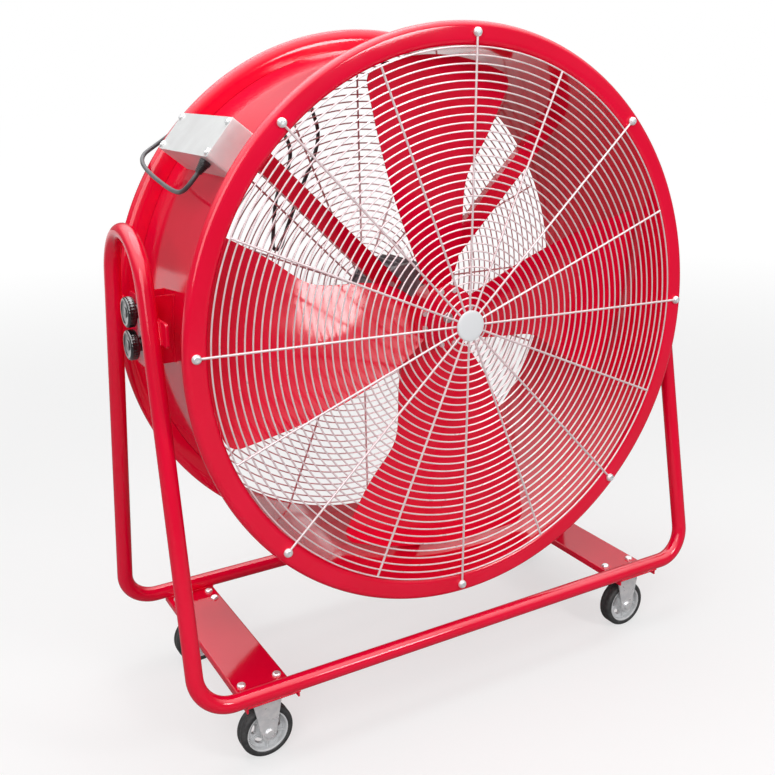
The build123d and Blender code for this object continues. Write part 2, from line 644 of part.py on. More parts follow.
def drum_screws():
    """Equal pan-head screws: eight in each grille and four in the lid of the junction box."""
    faces = [(box_plane(BOX_HEIGHT), box_screw_places())]
    for facing in (-1, 1):
        turns = [radians(spoke_turn(facing) + 720 / SPOKE_COUNT * step) for step in range(SPOKE_COUNT // 2)]
        eyes = [(SCREW_CIRCLE_R * cos(turn), SCREW_CIRCLE_R * sin(turn)) for turn in turns]
        faces.append((drum_plane(facing * (HALF_DEPTH + GRILLE_WIRE), facing), eyes))
    with BuildPart() as screws:
        for face, places in faces:
            with BuildSketch(face):
                with Locations(*places):
                    Circle(SCREW_R)
            extrude(amount=-SCREW_LENGTH)
            with BuildSketch(face):
                with Locations(*places):
                    Circle(SCREW_HEAD_R)
            extrude(amount=SCREW_HEAD, taper=HEAD_TAPER)
    return screws


# ---------------------------------------------------------------- tilt hardware on the drum


def tilt_bracket(side):
    """Hat-section bracket on the drum wall that carries the two studs."""
    with BuildPart() as bracket:
        middle = (BRACKET_LOW + BRACKET_HIGH) / 2
        height = BRACKET_HIGH - BRACKET_LOW
        plane = Plane(origin=(side * BRACKET_X, 0, AXIS_Z), x_dir=(0, 1, 0), z_dir=(1, 0, 0))
        with BuildSketch(plane):
            with Locations((0, middle)):
                Rectangle(2 * BRACKET_HALF, height)
        extrude(amount=-side * BRACKET_REACH)
        fillet(bracket.edges().filter_by(Axis.Z), BRACKET_ROUND)
        with BuildSketch(plane.offset(-side * BRACKET_SHEET)):
            with Locations((0, middle)):
                Rectangle(2 * (BRACKET_HALF - BRACKET_SHEET), height)
        extrude(amount=-side * BRACKET_REACH, mode=Mode.SUBTRACT)
        with BuildSketch(Plane.XZ):
            with Locations((0, AXIS_Z)):
                Circle(WALL_R)
        extrude(amount=BRACKET_HALF * 2, both=True, mode=Mode.SUBTRACT)
        with BuildSketch(plane):
            Circle(STUD_R)
            with Locations((0, LOCK_RADIUS)):
                Circle(STUD_R)
        extrude(amount=-side * BRACKET_SHEET, mode=Mode.SUBTRACT)
    return bracket


def tilt_studs():
    """Pivot stud and locking stud on each side, and the washers between drum and stand."""
    flange_step, flange_thick = STUD_FLANGE
    stud_end = PIVOT_OUTER_X + KNOB_LENGTH - KNOB_CAP - KNOB_STUD_END
    with BuildPart() as studs:
        for side in SIDES.values():
            for height in (0, LOCK_RADIUS):
                root = side * (BRACKET_X - BRACKET_SHEET)
                plane = Plane(origin=(root, 0, AXIS_Z + height), z_dir=(side, 0, 0))
                with BuildSketch(plane):
                    Circle(STUD_R)
                extrude(amount=stud_end - BRACKET_X + BRACKET_SHEET)
                with BuildSketch(plane):
                    Circle(STUD_R + flange_step)
                extrude(amount=-flange_thick)
            with BuildSketch(Plane(origin=(side * BRACKET_X, 0, AXIS_Z), z_dir=(side, 0, 0))):
                Circle(WASHER_R)
                Circle(STUD_R + WASHER_FIT, mode=Mode.SUBTRACT)
            extrude(amount=PIVOT_INNER_X - FACE_GAP - BRACKET_X)
    return studs


def knob(side, height):
    """Round clamping knob with a neck, bored blind for its stud."""
    base = Plane(origin=(side * (PIVOT_OUTER_X + FACE_GAP), 0, AXIS_Z + height), z_dir=(side, 0, 0))
    with BuildPart() as grip:
        with BuildSketch(base):
            Circle(KNOB_NECK_R)
        extrude(amount=KNOB_NECK)
        with BuildSketch(base.offset(KNOB_NECK)):
            Circle(KNOB_R)
        extrude(amount=KNOB_LENGTH - KNOB_NECK)
        circles = grip.edges().filter_by(GeomType.CIRCLE)
        rims = circles.filter_by(lambda e: e.radius > (KNOB_R + KNOB_NECK_R) / 2)
        fillet(rims, KNOB_ROUND)
        with BuildSketch(base):
            Circle(STUD_R + RUNNING_FIT)
        extrude(amount=KNOB_LENGTH - KNOB_CAP, mode=Mode.SUBTRACT)
    return grip


# ---------------------------------------------------------------- motor


def motor_housing():
    """Finned motor barrel."""
    with BuildPart() as housing:
        with BuildSketch(drum_plane(BELL_FRONT_Y, 1)):
            Circle(MOTOR_BODY_R)
            with PolarLocations(MOTOR_BODY_R, FIN_COUNT):
                Rectangle(2 * FIN_HEIGHT, FIN_THICK)
            Circle(MOTOR_BODY_R - MOTOR_WALL, mode=Mode.SUBTRACT)
        extrude(amount=HOUSING_LENGTH)
        with BuildSketch(lead_motor_end()):
            Circle(LEAD_R)
        extrude(amount=FIN_HEIGHT + 2 * MOTOR_WALL, both=True, mode=Mode.SUBTRACT)
    return housing


def arm_bolt_places():
    """Places of the bolts that hold the arms to the front bell, on a plane across the axis."""
    return Locations(*[(ARM_BOLT_CIRCLE_R * cos(radians(a)), ARM_BOLT_CIRCLE_R * sin(radians(a)))
                       for a in ARM_ANGLES])


def motor_bell(facing):
    """End bell with a bearing seat, domed at its outer edge."""
    inner = drum_plane(BELL_FRONT_Y if facing < 0 else BELL_REAR_Y, facing)
    with BuildPart() as bell:
        with BuildSketch(inner):
            Circle(MOTOR_BODY_R + BELL_LIP)
        extrude(amount=BELL_DEPTH)
        fillet(bell.edges().filter_by(GeomType.CIRCLE).sort_by(Axis.Y)[-1 if facing > 0 else 0], BELL_ROUND)
        with BuildSketch(inner):
            Circle(MOTOR_BODY_R - MOTOR_WALL)
            Circle(BEARING_R + BELL_SEAT_WALL, mode=Mode.SUBTRACT)
        extrude(amount=BELL_DEPTH - BELL_FACE, mode=Mode.SUBTRACT)
        with BuildSketch(inner):
            Circle(BEARING_R)
        extrude(amount=BEARING_WIDTH, mode=Mode.SUBTRACT)
        if facing < 0:
            with BuildSketch(inner):
                Circle(SHAFT_R + BELL_BORE_GAP)
                with arm_bolt_places():
                    Circle(ARM_BOLT_R)
            extrude(amount=BELL_DEPTH, mode=Mode.SUBTRACT)
    return bell


def motor_bearings():
    """Ball bearings in the two end bells, drawn as plain rings."""
    with BuildPart() as bearings:
        for y, facing in ((BELL_FRONT_Y, -1), (BELL_REAR_Y, 1)):
            with BuildSketch(drum_plane(y, facing)):
                Circle(BEARING_R)
                Circle(SHAFT_R + RUNNING_FIT, mode=Mode.SUBTRACT)
            extrude(amount=BEARING_WIDTH)
    return bearings


def stator():
    """Wound core of the motor, pressed into the barrel."""
    with BuildPart() as core:
        with BuildSketch(drum_plane(STATOR_Y, 1)):
            Circle(MOTOR_BODY_R - MOTOR_WALL)
            Circle(ROTOR_R + AIR_GAP, mode=Mode.SUBTRACT)
        extrude(amount=STATOR_LENGTH)
    return core


def arm_strip(start_r, end_r, angle, offsets, width):
    """Strips along one arm, cut round at the drum wall."""
    turn = radians(angle)
    plane = Plane(origin=(0, MOTOR_FRONT_Y, AXIS_Z), x_dir=(cos(turn), 0, sin(turn)), z_dir=(0, -1, 0))
    with BuildSketch(plane) as strip:
        with Locations(*[((start_r + WALL_R) / 2, offset) for offset in offsets]):
            Rectangle(WALL_R - start_r, width)
        Circle(end_r, mode=Mode.INTERSECT)
    return strip.sketch


def motor_arm(angle):
    """Channel arm from the front bell to the drum wall, with a curved foot."""
    edge = (ARM_WIDTH - ARM_SHEET) / 2
    foot_inner_r = WALL_INNER_R - ARM_SHEET
    with BuildPart() as arm:
        extrude(arm_strip(ARM_START_R, WALL_INNER_R, angle, (0,), ARM_WIDTH), amount=ARM_SHEET)
        flanges = arm_strip(MOTOR_R + FLANGE_GAP, WALL_INNER_R, angle, (-edge, edge), ARM_SHEET)
        extrude(flanges, amount=-ARM_HEIGHT)
        foot_start_r = foot_inner_r - FOOT_BACK
        extrude(arm_strip(foot_start_r, WALL_INNER_R, angle, (0,), ARM_WIDTH), amount=-ARM_FOOT)
        inside = arm_strip(foot_start_r, foot_inner_r, angle, (0,), ARM_WIDTH - 2 * ARM_SHEET)
        extrude(inside, amount=-ARM_FOOT, mode=Mode.SUBTRACT)
        with BuildSketch(drum_plane(MOTOR_FRONT_Y + ARM_HEIGHT, 1)):
            Circle(foot_inner_r)
        extrude(amount=ARM_FOOT, mode=Mode.SUBTRACT)
        with BuildSketch(drum_plane(MOTOR_FRONT_Y)):
            with arm_bolt_places():
                Circle(ARM_BOLT_R)
        extrude(amount=ARM_SHEET, mode=Mode.SUBTRACT)
        for y in FOOT_SCREW_YS:
            with BuildSketch(radial_plane(WALL_R, angle, y)):
                Circle(SCREW_R)
            extrude(amount=WALL_DRILL, both=True, mode=Mode.SUBTRACT)
    return arm


def arm_bolts():
    """Bolts of the motor arms: one each at the motor, two each through the drum wall."""
    web_face = drum_plane(MOTOR_FRONT_Y - ARM_SHEET)
    with BuildPart() as bolts:
        with BuildSketch(web_face):
            with arm_bolt_places():
                RegularPolygon(ARM_BOLT_HEX, 6)
        extrude(amount=BOLT_HEAD)
        with BuildSketch(web_face):
            with arm_bolt_places():
                Circle(ARM_BOLT_R)
        extrude(amount=-ARM_SHEET - ARM_BOLT_GRIP)
        for angle in ARM_ANGLES:
            for y in FOOT_SCREW_YS:
                nut_face = radial_plane(WALL_INNER_R - ARM_SHEET - SCREW_SEAT_GAP, angle, y)
                head_face = radial_plane(WALL_R + SCREW_SEAT_GAP, angle, y)
                with BuildSketch(nut_face):
                    RegularPolygon(SMALL_HEX, 6)
                extrude(amount=-SMALL_NUT)
                with BuildSketch(nut_face):
                    Circle(SCREW_R)
                extrude(amount=ARM_SHEET + SHEET + SCREW_HEAD / 2)
                with BuildSketch(head_face):
                    Circle(SCREW_HEAD_R)
                extrude(amount=SCREW_HEAD, taper=HEAD_TAPER)
    return bolts


# ---------------------------------------------------------------- impeller


def rotor():
    """Rotor core on the motor shaft."""
    with BuildPart() as core:
        with BuildSketch(drum_plane(STATOR_Y, 1)):
            Circle(ROTOR_R)
            Circle(SHAFT_R, mode=Mode.SUBTRACT)
        extrude(amount=STATOR_LENGTH)
    return core


def motor_shaft():
    """Shaft from the rear bearing to the tip in front of the hub."""
    with BuildPart() as shaft:
        with BuildSketch(drum_plane(SHAFT_TIP_Y, 1)):
            Circle(SHAFT_R)
        extrude(amount=BELL_REAR_Y + BEARING_WIDTH - SHAFT_TIP_Y)
        chamfer(shaft.edges().filter_by(GeomType.CIRCLE), SHAFT_CHAMFER)
    return shaft


def blade_angle(index):
    """Place of a blade around the shaft."""
    return BLADE_TURN + index * 360 / BLADE_COUNT


def blade_plane(angle, y=0.0):
    """Plane across the shaft with its x along one blade, seen from the front."""
    turn = radians(angle)
    return Plane(origin=(0, y, AXIS_Z), x_dir=(cos(turn), 0, sin(turn)), z_dir=(0, -1, 0))


def station_plane(radius, angle, pitch):
    """Plane across one blade at a radius, turned by the blade's pitch."""
    turn, twist = radians(angle), radians(pitch)
    chordwise = (-sin(turn) * cos(twist), -sin(twist), cos(turn) * cos(twist))
    outwards = (cos(turn), 0, sin(turn))
    return Plane(origin=tuple(polar(radius, angle, BLADE_Y)), x_dir=chordwise, z_dir=outwards)


def blade_radius(out):
    """Radius of a place along a blade, from its distance out before stretching."""
    return BLADE_START_R + BLADE_STRETCH * out


def blade_edge(places, tip_turn):
    """Points of a blade's edge on its plane, ending at the tip."""
    ends = [(blade_radius(out), turn) for out, turn in places] + [(BLADE_TIP_R, tip_turn)]
    return [(radius * cos(radians(turn)), radius * sin(radians(turn))) for radius, turn in ends]


def blade(index):
    """Pressed blade: an arched, twisted sheet trimmed to its outline."""
    angle = blade_angle(index)
    trailing = blade_edge(BLADE_TRAILING, BLADE_TIP_TURNS[0])
    leading = blade_edge(BLADE_LEADING, BLADE_TIP_TURNS[1])
    with BuildPart() as vane:
        for out, chord, pitch in BLADE_STATIONS:
            with BuildSketch(station_plane(blade_radius(out), angle, pitch)):
                with BuildLine():
                    half = BLADE_STRETCH * chord / 2
                    arch = 2 * half * BLADE_CAMBER
                    under = ThreePointArc((-half, 0), (0, -arch), (half, 0))
                    over = ThreePointArc((-half, BLADE_SHEET), (0, BLADE_SHEET - arch), (half, BLADE_SHEET))
                    Line(under @ 0, over @ 0)
                    Line(under @ 1, over @ 1)
                make_face()
        loft()
        with BuildSketch(blade_plane(angle)) as plan:
            with BuildLine():
                Line((BLADE_ROOT_R, -BLADE_ROOT_HALF), (BLADE_ROOT_R, BLADE_ROOT_HALF))
                Spline((BLADE_ROOT_R, BLADE_ROOT_HALF), *trailing)
                ThreePointArc(trailing[-1], (BLADE_TIP_R, 0), leading[-1])
                Spline((BLADE_ROOT_R, -BLADE_ROOT_HALF), *leading)
            make_face()
            fillet(plan.vertices().sort_by(Axis.X)[-2:], BLADE_TIP_ROUND)
        extrude(amount=HALF_DEPTH, mode=Mode.INTERSECT)
        with BuildSketch(blade_plane(angle)):
            with Locations(*hub_bolt_places()):
                Circle(SCREW_R)
        extrude(amount=HALF_DEPTH, mode=Mode.SUBTRACT)
    return vane


def hub_bolt_places():
    """Places of the two bolts of a blade, on the blade's plane."""
    inset, off = HUB_BOLT_PLACE
    return [(HUB_R - inset, -off), (HUB_R - inset, off)]


def impeller_hub(blades):
    """Turned hub on the shaft, slotted for the blade roots."""
    with BuildPart() as hub:
        with BuildSketch(drum_plane(HUB_REAR_Y)):
            Circle(HUB_R)
        extrude(amount=HUB_REAR_Y - HUB_FRONT_Y)
        fillet(hub.edges().filter_by(GeomType.CIRCLE), HUB_ROUND)
        for vane in blades:
            add(vane.part, mode=Mode.SUBTRACT)
        for index in range(BLADE_COUNT):
            with BuildSketch(blade_plane(blade_angle(index))):
                Circle(SHAFT_R)
                with Locations(*hub_bolt_places()):
                    Circle(SCREW_R)
            extrude(amount=HALF_DEPTH, mode=Mode.SUBTRACT)
    return hub


def hub_bolts():
    """Bolts through the hub and the blade roots, two for each blade."""
    with BuildPart() as bolts:
        for index in range(BLADE_COUNT):
            angle = blade_angle(index)
            with BuildSketch(blade_plane(angle, HUB_FRONT_Y)):
                with Locations(*hub_bolt_places()):
                    RegularPolygon(SMALL_HEX, 6)
            extrude(amount=SMALL_NUT)
            with BuildSketch(blade_plane(angle, HUB_REAR_Y)):
                with Locations(*hub_bolt_places()):
                    RegularPolygon(SMALL_HEX, 6)
            extrude(amount=-SMALL_NUT)
            with BuildSketch(blade_plane(angle, HUB_REAR_Y)):
                with Locations(*hub_bolt_places()):
                    Circle(SCREW_R)
            extrude(amount=HUB_REAR_Y - HUB_FRONT_Y)
    return bolts


# ---------------------------------------------------------------- junction box and cord


def box_plane(height):
    """Plane across the junction box at a height above the drum wall."""
    return radial_plane(WALL_R + height, BOX_ANGLE, BOX_Y)


def box_screw_places():
    """Places of the lid screws on the box's plane."""
    x = BOX_WIDTH / 2 - BOX_SCREW_INSET
    y = BOX_LENGTH / 2 - BOX_SCREW_INSET
    return [(i * x, j * y) for i in (-1, 1) for j in (-1, 1)]


def gland_plane():
    """Plane on the lower side of the junction box, with its normal along the cord's exit."""
    turn = radians(BOX_ANGLE)
    down = Vector(-sin(turn), 0, cos(turn))
    origin = polar(WALL_R + GLAND_LIFT, BOX_ANGLE, GLAND_Y) + down * (BOX_WIDTH / 2)
    return Plane(origin=origin, x_dir=(0, 1, 0), z_dir=down)


def junction_box():
    """Box on the drum wall, open at the top, with corner posts for the lid screws."""
    inner_height = BOX_HEIGHT - LID_THICK - BOX_WALL
    with BuildPart() as box:
        with BuildSketch(box_plane(-BOX_SEAT)):
            RectangleRounded(BOX_WIDTH, BOX_LENGTH, BOX_CORNER)
        extrude(amount=BOX_SEAT + BOX_HEIGHT - LID_THICK)
        with BuildSketch(box_plane(BOX_WALL)):
            RectangleRounded(BOX_WIDTH - 2 * BOX_WALL, BOX_LENGTH - 2 * BOX_WALL, BOX_CORNER - BOX_WALL)
        extrude(amount=inner_height, mode=Mode.SUBTRACT)
        with BuildSketch(box_plane(BOX_WALL)):
            with Locations(*box_screw_places()):
                Circle(BOX_BOSS_R)
        extrude(amount=inner_height)
        with BuildSketch(box_plane(BOX_HEIGHT - LID_THICK)):
            with Locations(*box_screw_places()):
                Circle(SCREW_R)
        extrude(amount=-SCREW_LENGTH, mode=Mode.SUBTRACT)
        with BuildSketch(Plane.XZ):
            with Locations((0, AXIS_Z)):
                Circle(WALL_R)
        extrude(amount=HALF_DEPTH, both=True, mode=Mode.SUBTRACT)
        with BuildSketch(gland_plane()):
            Circle(GLAND_THREAD_R)
        extrude(amount=-BOX_WALL - GLAND_TAIL, mode=Mode.SUBTRACT)
        with BuildSketch(lead_entry()):
            Circle(LEAD_R)
        extrude(amount=LEAD_DRILL, both=True, mode=Mode.SUBTRACT)
    return box


def box_lid():
    """Flat lid of the junction box."""
    with BuildPart() as lid:
        with BuildSketch(box_plane(BOX_HEIGHT - LID_THICK)):
            RectangleRounded(BOX_WIDTH, BOX_LENGTH, BOX_CORNER)
            with Locations(*box_screw_places()):
                Circle(SCREW_R, mode=Mode.SUBTRACT)
        extrude(amount=LID_THICK)
    return lid


def capacitor():
    """Motor capacitor on the floor of the junction box."""
    with BuildPart() as block:
        with BuildSketch(box_plane(BOX_WALL)):
            with Locations((0, CAPACITOR_SHIFT)):
                RectangleRounded(CAPACITOR[0], CAPACITOR[1], CAPACITOR_ROUND)
        extrude(amount=CAPACITOR[2])
    return block


def lead_entry():
    """Plane where the motor lead goes through the drum wall, under the box."""
    return radial_plane(WALL_R, BOX_ANGLE - LEAD_TURN, BOX_Y + BOX_LENGTH / 2 - LEAD_INSET)


def lead_motor_end():
    """Plane where the motor lead goes into the barrel, behind the upper left arm."""
    return radial_plane(MOTOR_R, ARM_ANGLES[1], BELL_FRONT_Y + LEAD_BACK)


def motor_lead():
    """Sheathed lead from the box through the drum wall and along the arm to the motor."""
    entry, end = lead_entry(), lead_motor_end()
    tail, drop, rise, plunge = LEAD_ENDS
    arm_angle = ARM_ANGLES[1]
    arm_y = MOTOR_FRONT_Y + ARM_HEIGHT / 2 + LEAD_OFF_MIDDLE
    start = entry.origin + entry.z_dir * tail
    points = [start, entry.origin - entry.z_dir * drop]
    points += [polar(WALL_R - inset, arm_angle + turn, arm_y + back) for inset, turn, back in LEAD_POINTS]
    points += [polar(MOTOR_R + LEAD_LEAVES, arm_angle, arm_y)]
    points += [end.origin + end.z_dir * rise, end.origin - end.z_dir * plunge]
    with BuildPart() as lead:
        with BuildLine():
            FilletPolyline(*points, radius=LEAD_BENDS)
        with BuildSketch(Plane(origin=start, z_dir=-entry.z_dir)):
            Circle(LEAD_R)
        sweep()
    return lead


def cable_gland():
    """Threaded gland with its nut and a tapered strain relief."""
    relief_r, relief_length, relief_taper = GLAND_RELIEF
    with BuildPart() as gland:
        with BuildSketch(gland_plane()):
            Circle(GLAND_THREAD_R)
        extrude(amount=-BOX_WALL - GLAND_TAIL)
        with BuildSketch(gland_plane()):
            RegularPolygon(GLAND_NUT[0], 6)
        extrude(amount=GLAND_NUT[1])
        with BuildSketch(gland_plane().offset(GLAND_NUT[1])):
            Circle(relief_r)
        extrude(amount=relief_length, taper=relief_taper)
    return gland


def cord_route():
    """Corner points of the cord, from the tip of the gland to the coil."""
    exit_plane = gland_plane().offset(GLAND_NUT[1] + GLAND_RELIEF[1])
    start = exit_plane.origin
    return [start, start + exit_plane.z_dir * CORD_LEAVES] + [Vector(*point) for point in CORD_POINTS]


def route_radii(points):
    """Bend radius at each corner, as large as its two runs allow."""
    radii = []
    for before, corner, after in zip(points, points[1:], points[2:]):
        shorter = min((corner - before).length, (after - corner).length)
        turn = radians((corner - before).get_angle(after - corner))
        radii.append(BEND_SHARE * shorter / tan(turn / 2))
    return radii


def power_cord():
    """Round cord along its route, as straight runs joined by tangent arcs."""
    points = cord_route()
    radii = route_radii(points)
    with BuildPart() as cord:
        with BuildLine() as path:
            FilletPolyline(*points, radius=radii)
        with BuildSketch(Plane(origin=points[0], z_dir=points[1] - points[0])):
            Circle(CORD_R)
        sweep()
    length = path.wires()[0].length
    print("cord radii", [round(radius, 1) for radius in radii])
    print("cord length", round(length, 1), "volume", round(cord.part.volume),
          "section times length", round(length * pi * CORD_R**2))
    return cord


def cord_coil(cord):
    """Bundle of the cord's put-away length, wound round behind the rear grille."""
    with BuildPart() as coil:
        with BuildSketch(Plane(origin=COIL_CENTRE, x_dir=(1, 0, 0), z_dir=(0, 0, 1))):
            with Locations((COIL_R, 0)):
                RectangleRounded(*COIL_BUNDLE, COIL_ROUND)
        revolve(axis=Axis(COIL_CENTRE, (0, 1, 0)))
        add(cord.part, mode=Mode.SUBTRACT)
    return coil


def cord_clips(cord, coil):
    """Clips that hold the cord to the rear grille, and the strap that holds the coil."""
    base_y = HALF_DEPTH + GRILLE_WIRE
    points = cord_route()
    with BuildPart() as clips:
        for run in CLIP_RUNS:
            middle = (points[run] + points[run + 1]) / 2
            along = points[run + 1] - points[run]
            foot = Plane(origin=(middle.X, base_y, middle.Z), x_dir=(along.X, 0, along.Z), z_dir=(0, 1, 0))
            with BuildSketch(foot):
                RectangleRounded(*CLIP_SIZE, CLIP_ROUND)
            extrude(amount=middle.Y + CORD_R + CLIP_WALL - base_y)
        add(cord.part, mode=Mode.SUBTRACT)
        x, y, z = COIL_CENTRE
        strap_end = y + COIL_BUNDLE[1] / 2 + TIE_SHEET
        with BuildSketch(Plane(origin=(x, base_y, z + COIL_R), x_dir=(1, 0, 0), z_dir=(0, 1, 0))):
            Rectangle(CLIP_SIZE[0], COIL_BUNDLE[0] + 2 * TIE_SHEET)
        extrude(amount=strap_end - base_y)
        add(coil.part, mode=Mode.SUBTRACT)
    return clips


def plug(coil):
    """Moulded plug with two round pins, hanging from the coil."""
    x, y, z = PLUG_PLACE
    neck_step, neck_length, neck_overlap, neck_taper = PLUG_NECK
    body_top = Plane.XY.offset(z - neck_length)
    with BuildPart() as body:
        with BuildSketch(Plane(origin=PLUG_PLACE, z_dir=(0, 0, -1))):
            Circle(CORD_R + neck_step)
        extrude(amount=neck_length + neck_overlap, taper=neck_taper)
        with BuildSketch(body_top):
            with Locations((x, y)):
                RectangleRounded(*PLUG_SIZE, PLUG_ROUND[0])
        extrude(amount=-PLUG_LENGTH)
        fillet(body.edges().filter_by(Plane.XY).group_by(Axis.Z)[0], PLUG_ROUND[1])
        with BuildSketch(body_top.offset(-PLUG_LENGTH)):
            with Locations((x - PIN_SPACING / 2, y), (x + PIN_SPACING / 2, y)):
                Circle(PIN_R)
        extrude(amount=-PIN_LENGTH)
        add(coil.part, mode=Mode.SUBTRACT)
    return body


# ---------------------------------------------------------------- write every piece

os.makedirs("parts", exist_ok=True)

for name, side in SIDES.items():
    save(frame_tube(side), f"frame_tube_{name}")
    save(base_channel(side), f"base_channel_{name}")
    save(pivot_plate(side), f"pivot_plate_{name}")
    save(tilt_bracket(side), f"tilt_bracket_{name}")
    save(knob(side, 0), f"pivot_knob_{name}")
    save(knob(side, LOCK_RADIUS), f"lock_knob_{name}")
save(frame_sleeves(), "frame_sleeves")

for name, (side, end) in CORNERS.items():
    save(caster_fork(side, end), f"caster_fork_{name}")
    save(wheel_tyre(side, end), f"tyre_{name}")
    save(wheel_hub(side, end), f"wheel_hub_{name}")
save(caster_axles(), "caster_axles")
save(caster_bolts(), "caster_bolts")

save(drum_shell(), "drum_shell")
save(grille(-1), "front_grille")
save(grille(1), "rear_grille")
save(grille_badge(), "grille_badge")
save(drum_screws(), "drum_screws")
save(tilt_studs(), "tilt_studs")

save(motor_housing(), "motor_housing")
save(motor_bell(-1), "motor_bell_front")
save(motor_bell(1), "motor_bell_rear")
save(motor_bearings(), "motor_bearings")
save(stator(), "stator")
for number, angle in enumerate(ARM_ANGLES, 1):
    save(motor_arm(angle), f"motor_arm_{number}")
save(arm_bolts(), "arm_bolts")

save(rotor(), "rotor")
save(motor_shaft(), "motor_shaft")
blades = [blade(index) for index in range(BLADE_COUNT)]
for number, vane in enumerate(blades, 1):
    save(vane, f"blade_{number}")
save(impeller_hub(blades), "impeller_hub")
save(hub_bolts(), "hub_bolts")

save(junction_box(), "junction_box")
save(box_lid(), "box_lid")
save(capacitor(), "capacitor")
save(motor_lead(), "motor_lead")
save(cable_gland(), "cable_gland")
cord = power_cord()
coil = cord_coil(cord)
save(cord, "power_cord")
save(coil, "cord_coil")
save(cord_clips(cord, coil), "cord_clips")
save(plug(coil), "plug")
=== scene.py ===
"""Looks of the drum fan: paint, wire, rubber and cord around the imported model, in metres.

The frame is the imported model's own: the fan stands on the floor (Z = 0), its grilles face -Y
(front) and +Y (rear), and the origin is on the floor under the middle of the stand.
"""

import json
import math

import bmesh
import bpy
from mathutils import Matrix, Vector
from mathutils.geometry import tessellate_polygon

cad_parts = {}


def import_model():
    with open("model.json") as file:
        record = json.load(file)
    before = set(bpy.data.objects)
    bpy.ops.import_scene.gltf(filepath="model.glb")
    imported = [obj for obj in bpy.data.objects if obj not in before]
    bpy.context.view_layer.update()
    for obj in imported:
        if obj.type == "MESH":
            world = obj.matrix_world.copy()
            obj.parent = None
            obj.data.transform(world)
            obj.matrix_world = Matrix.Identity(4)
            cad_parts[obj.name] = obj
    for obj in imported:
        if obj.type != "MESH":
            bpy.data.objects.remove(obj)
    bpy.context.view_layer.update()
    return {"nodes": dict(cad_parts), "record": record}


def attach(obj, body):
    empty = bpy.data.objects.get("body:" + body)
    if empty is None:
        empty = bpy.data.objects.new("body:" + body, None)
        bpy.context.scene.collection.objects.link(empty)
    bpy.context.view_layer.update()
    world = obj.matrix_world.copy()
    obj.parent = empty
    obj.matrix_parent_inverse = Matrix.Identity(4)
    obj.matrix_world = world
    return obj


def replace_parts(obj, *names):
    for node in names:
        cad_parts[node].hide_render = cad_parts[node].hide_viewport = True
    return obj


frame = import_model()

# ---------------------------------------------------------------- sizes, as in the part's source

AXIS_Z = 0.748           # fan axis and tilt axis
CORNERS = {"front_left": (-1, -1), "front_right": (1, -1), "rear_left": (-1, 1), "rear_right": (1, 1)}
SIDES = {"left": -1, "right": 1}

# Drum and grilles
RIM_R = 0.535
RIM_WIDTH = 0.041
RIM_DEPTH = 0.026
RIM_ROUND = 0.011
HALF_DEPTH = 0.206
SHEET = 0.0016
WALL_R = RIM_R - RIM_WIDTH + SHEET
LIP_R = WALL_R + 0.0006
RIM_SHOULDER = (0.024, 0.013)      # rim's outer corner away from the grille, across and along the axis
RING_COUNT = 34
RING_R = (0.0229, 0.4915)
RING_WIRE = 0.0030
SPOKE_WIRE = 0.0042
SPOKE_COUNT = 16
SPOKE_TURN = {-1: 88.2, 1: 90.0}   # first spoke of the front and the rear grille, from +X towards +Z
GRILLE_THICK = 0.0044
SCREW_CIRCLE_R = 0.5158
EYE_R = 0.0060
EYE_WIRE = 0.0040
SCREW_HEAD = (0.0065, 0.0040)      # radius and height
WASHER = (0.0077, 0.0009)          # radius and thickness
SCREW_HOLE_R = 0.0032
BADGE_R = 0.029

# Stand
TUBE_R = 0.015
LEG_X = 0.558
BAR_Y = 0.2235
BAR_Z = 0.1506
ARCH_RISE = 0.6919       # from the floor bars to the centre of an arch's bend
ARCH_R = 0.1014
BEND_R = 0.065
LEAN = math.atan(BAR_Y / ARCH_RISE) - math.asin(ARCH_R / math.hypot(BAR_Y, ARCH_RISE))
APEX_Z = BAR_Z + BAR_Y / math.tan(LEAN)
CHANNEL_TOP = 0.1371
CHANNEL_HALF = 0.050
PLATE_FACE_X = 0.5445    # outer face of a pivot plate, where the legs are welded on
STRAP_Z = (0.773, 0.813)
BRACKET_HALF = 0.030
BRACKET_Z = (-0.034, 0.086)        # from the tilt axis
WELD_R = 0.0024
WELD_LIFT = 0.0008       # centre of a bead above the face that it lies on
BAR_WELD = 0.0083        # bead of a floor bar and of a leg, from the tube's centre line
LEG_WELD = 0.0082
BRACKET_WELD_R = 0.0021
BRACKET_WELD_LIFT = 0.0006
LOCK_RADIUS = 0.058
KNOB_BASE_X = 0.5448
KNOB_R = 0.0270
KNOB_FLUTES = (30, 0.0007)         # number and depth

# Casters
CASTER_X = 0.425
CASTER_Y = 0.180
WHEEL_R = 0.050
TYRE_HALF = 0.0150
TYRE_ROUND = 0.0064
TYRE_BORE_R = 0.039
HUB_BORE_R = 0.0051
HUB_HOLE_R = 0.024       # circle of the five kidney holes
HUB_HOLE_HALF = 0.0045   # half their width
HUB_HOLE_SPAN = 13       # half their length, in degrees
HUB_SPOKES = 5

# Motor
BELL_INNER_Y = {-1: 0.023, 1: 0.115}
BELL_EDGE_R = 0.081
BELL_DEPTH = 0.018
BELL_ROUND = 0.008
BELL_WALL_R = 0.073      # inside of its rim
BELL_SEAT_R = (0.022, 0.027)       # bearing seat, inside and outside
BELL_BORE_R = 0.0122
BELL_RIBS = (0, 90, 180, 225, 315) # middles of the groups of three ribs, clear of the arms
BELL_RIB_STEP = 12
BELL_SLOTS = 32
BELL_SLOT_R = (0.038, 0.061)       # its rounded ends
BELL_SLOT_HALF = (0.0018, 0.0029)  # half its width at each end

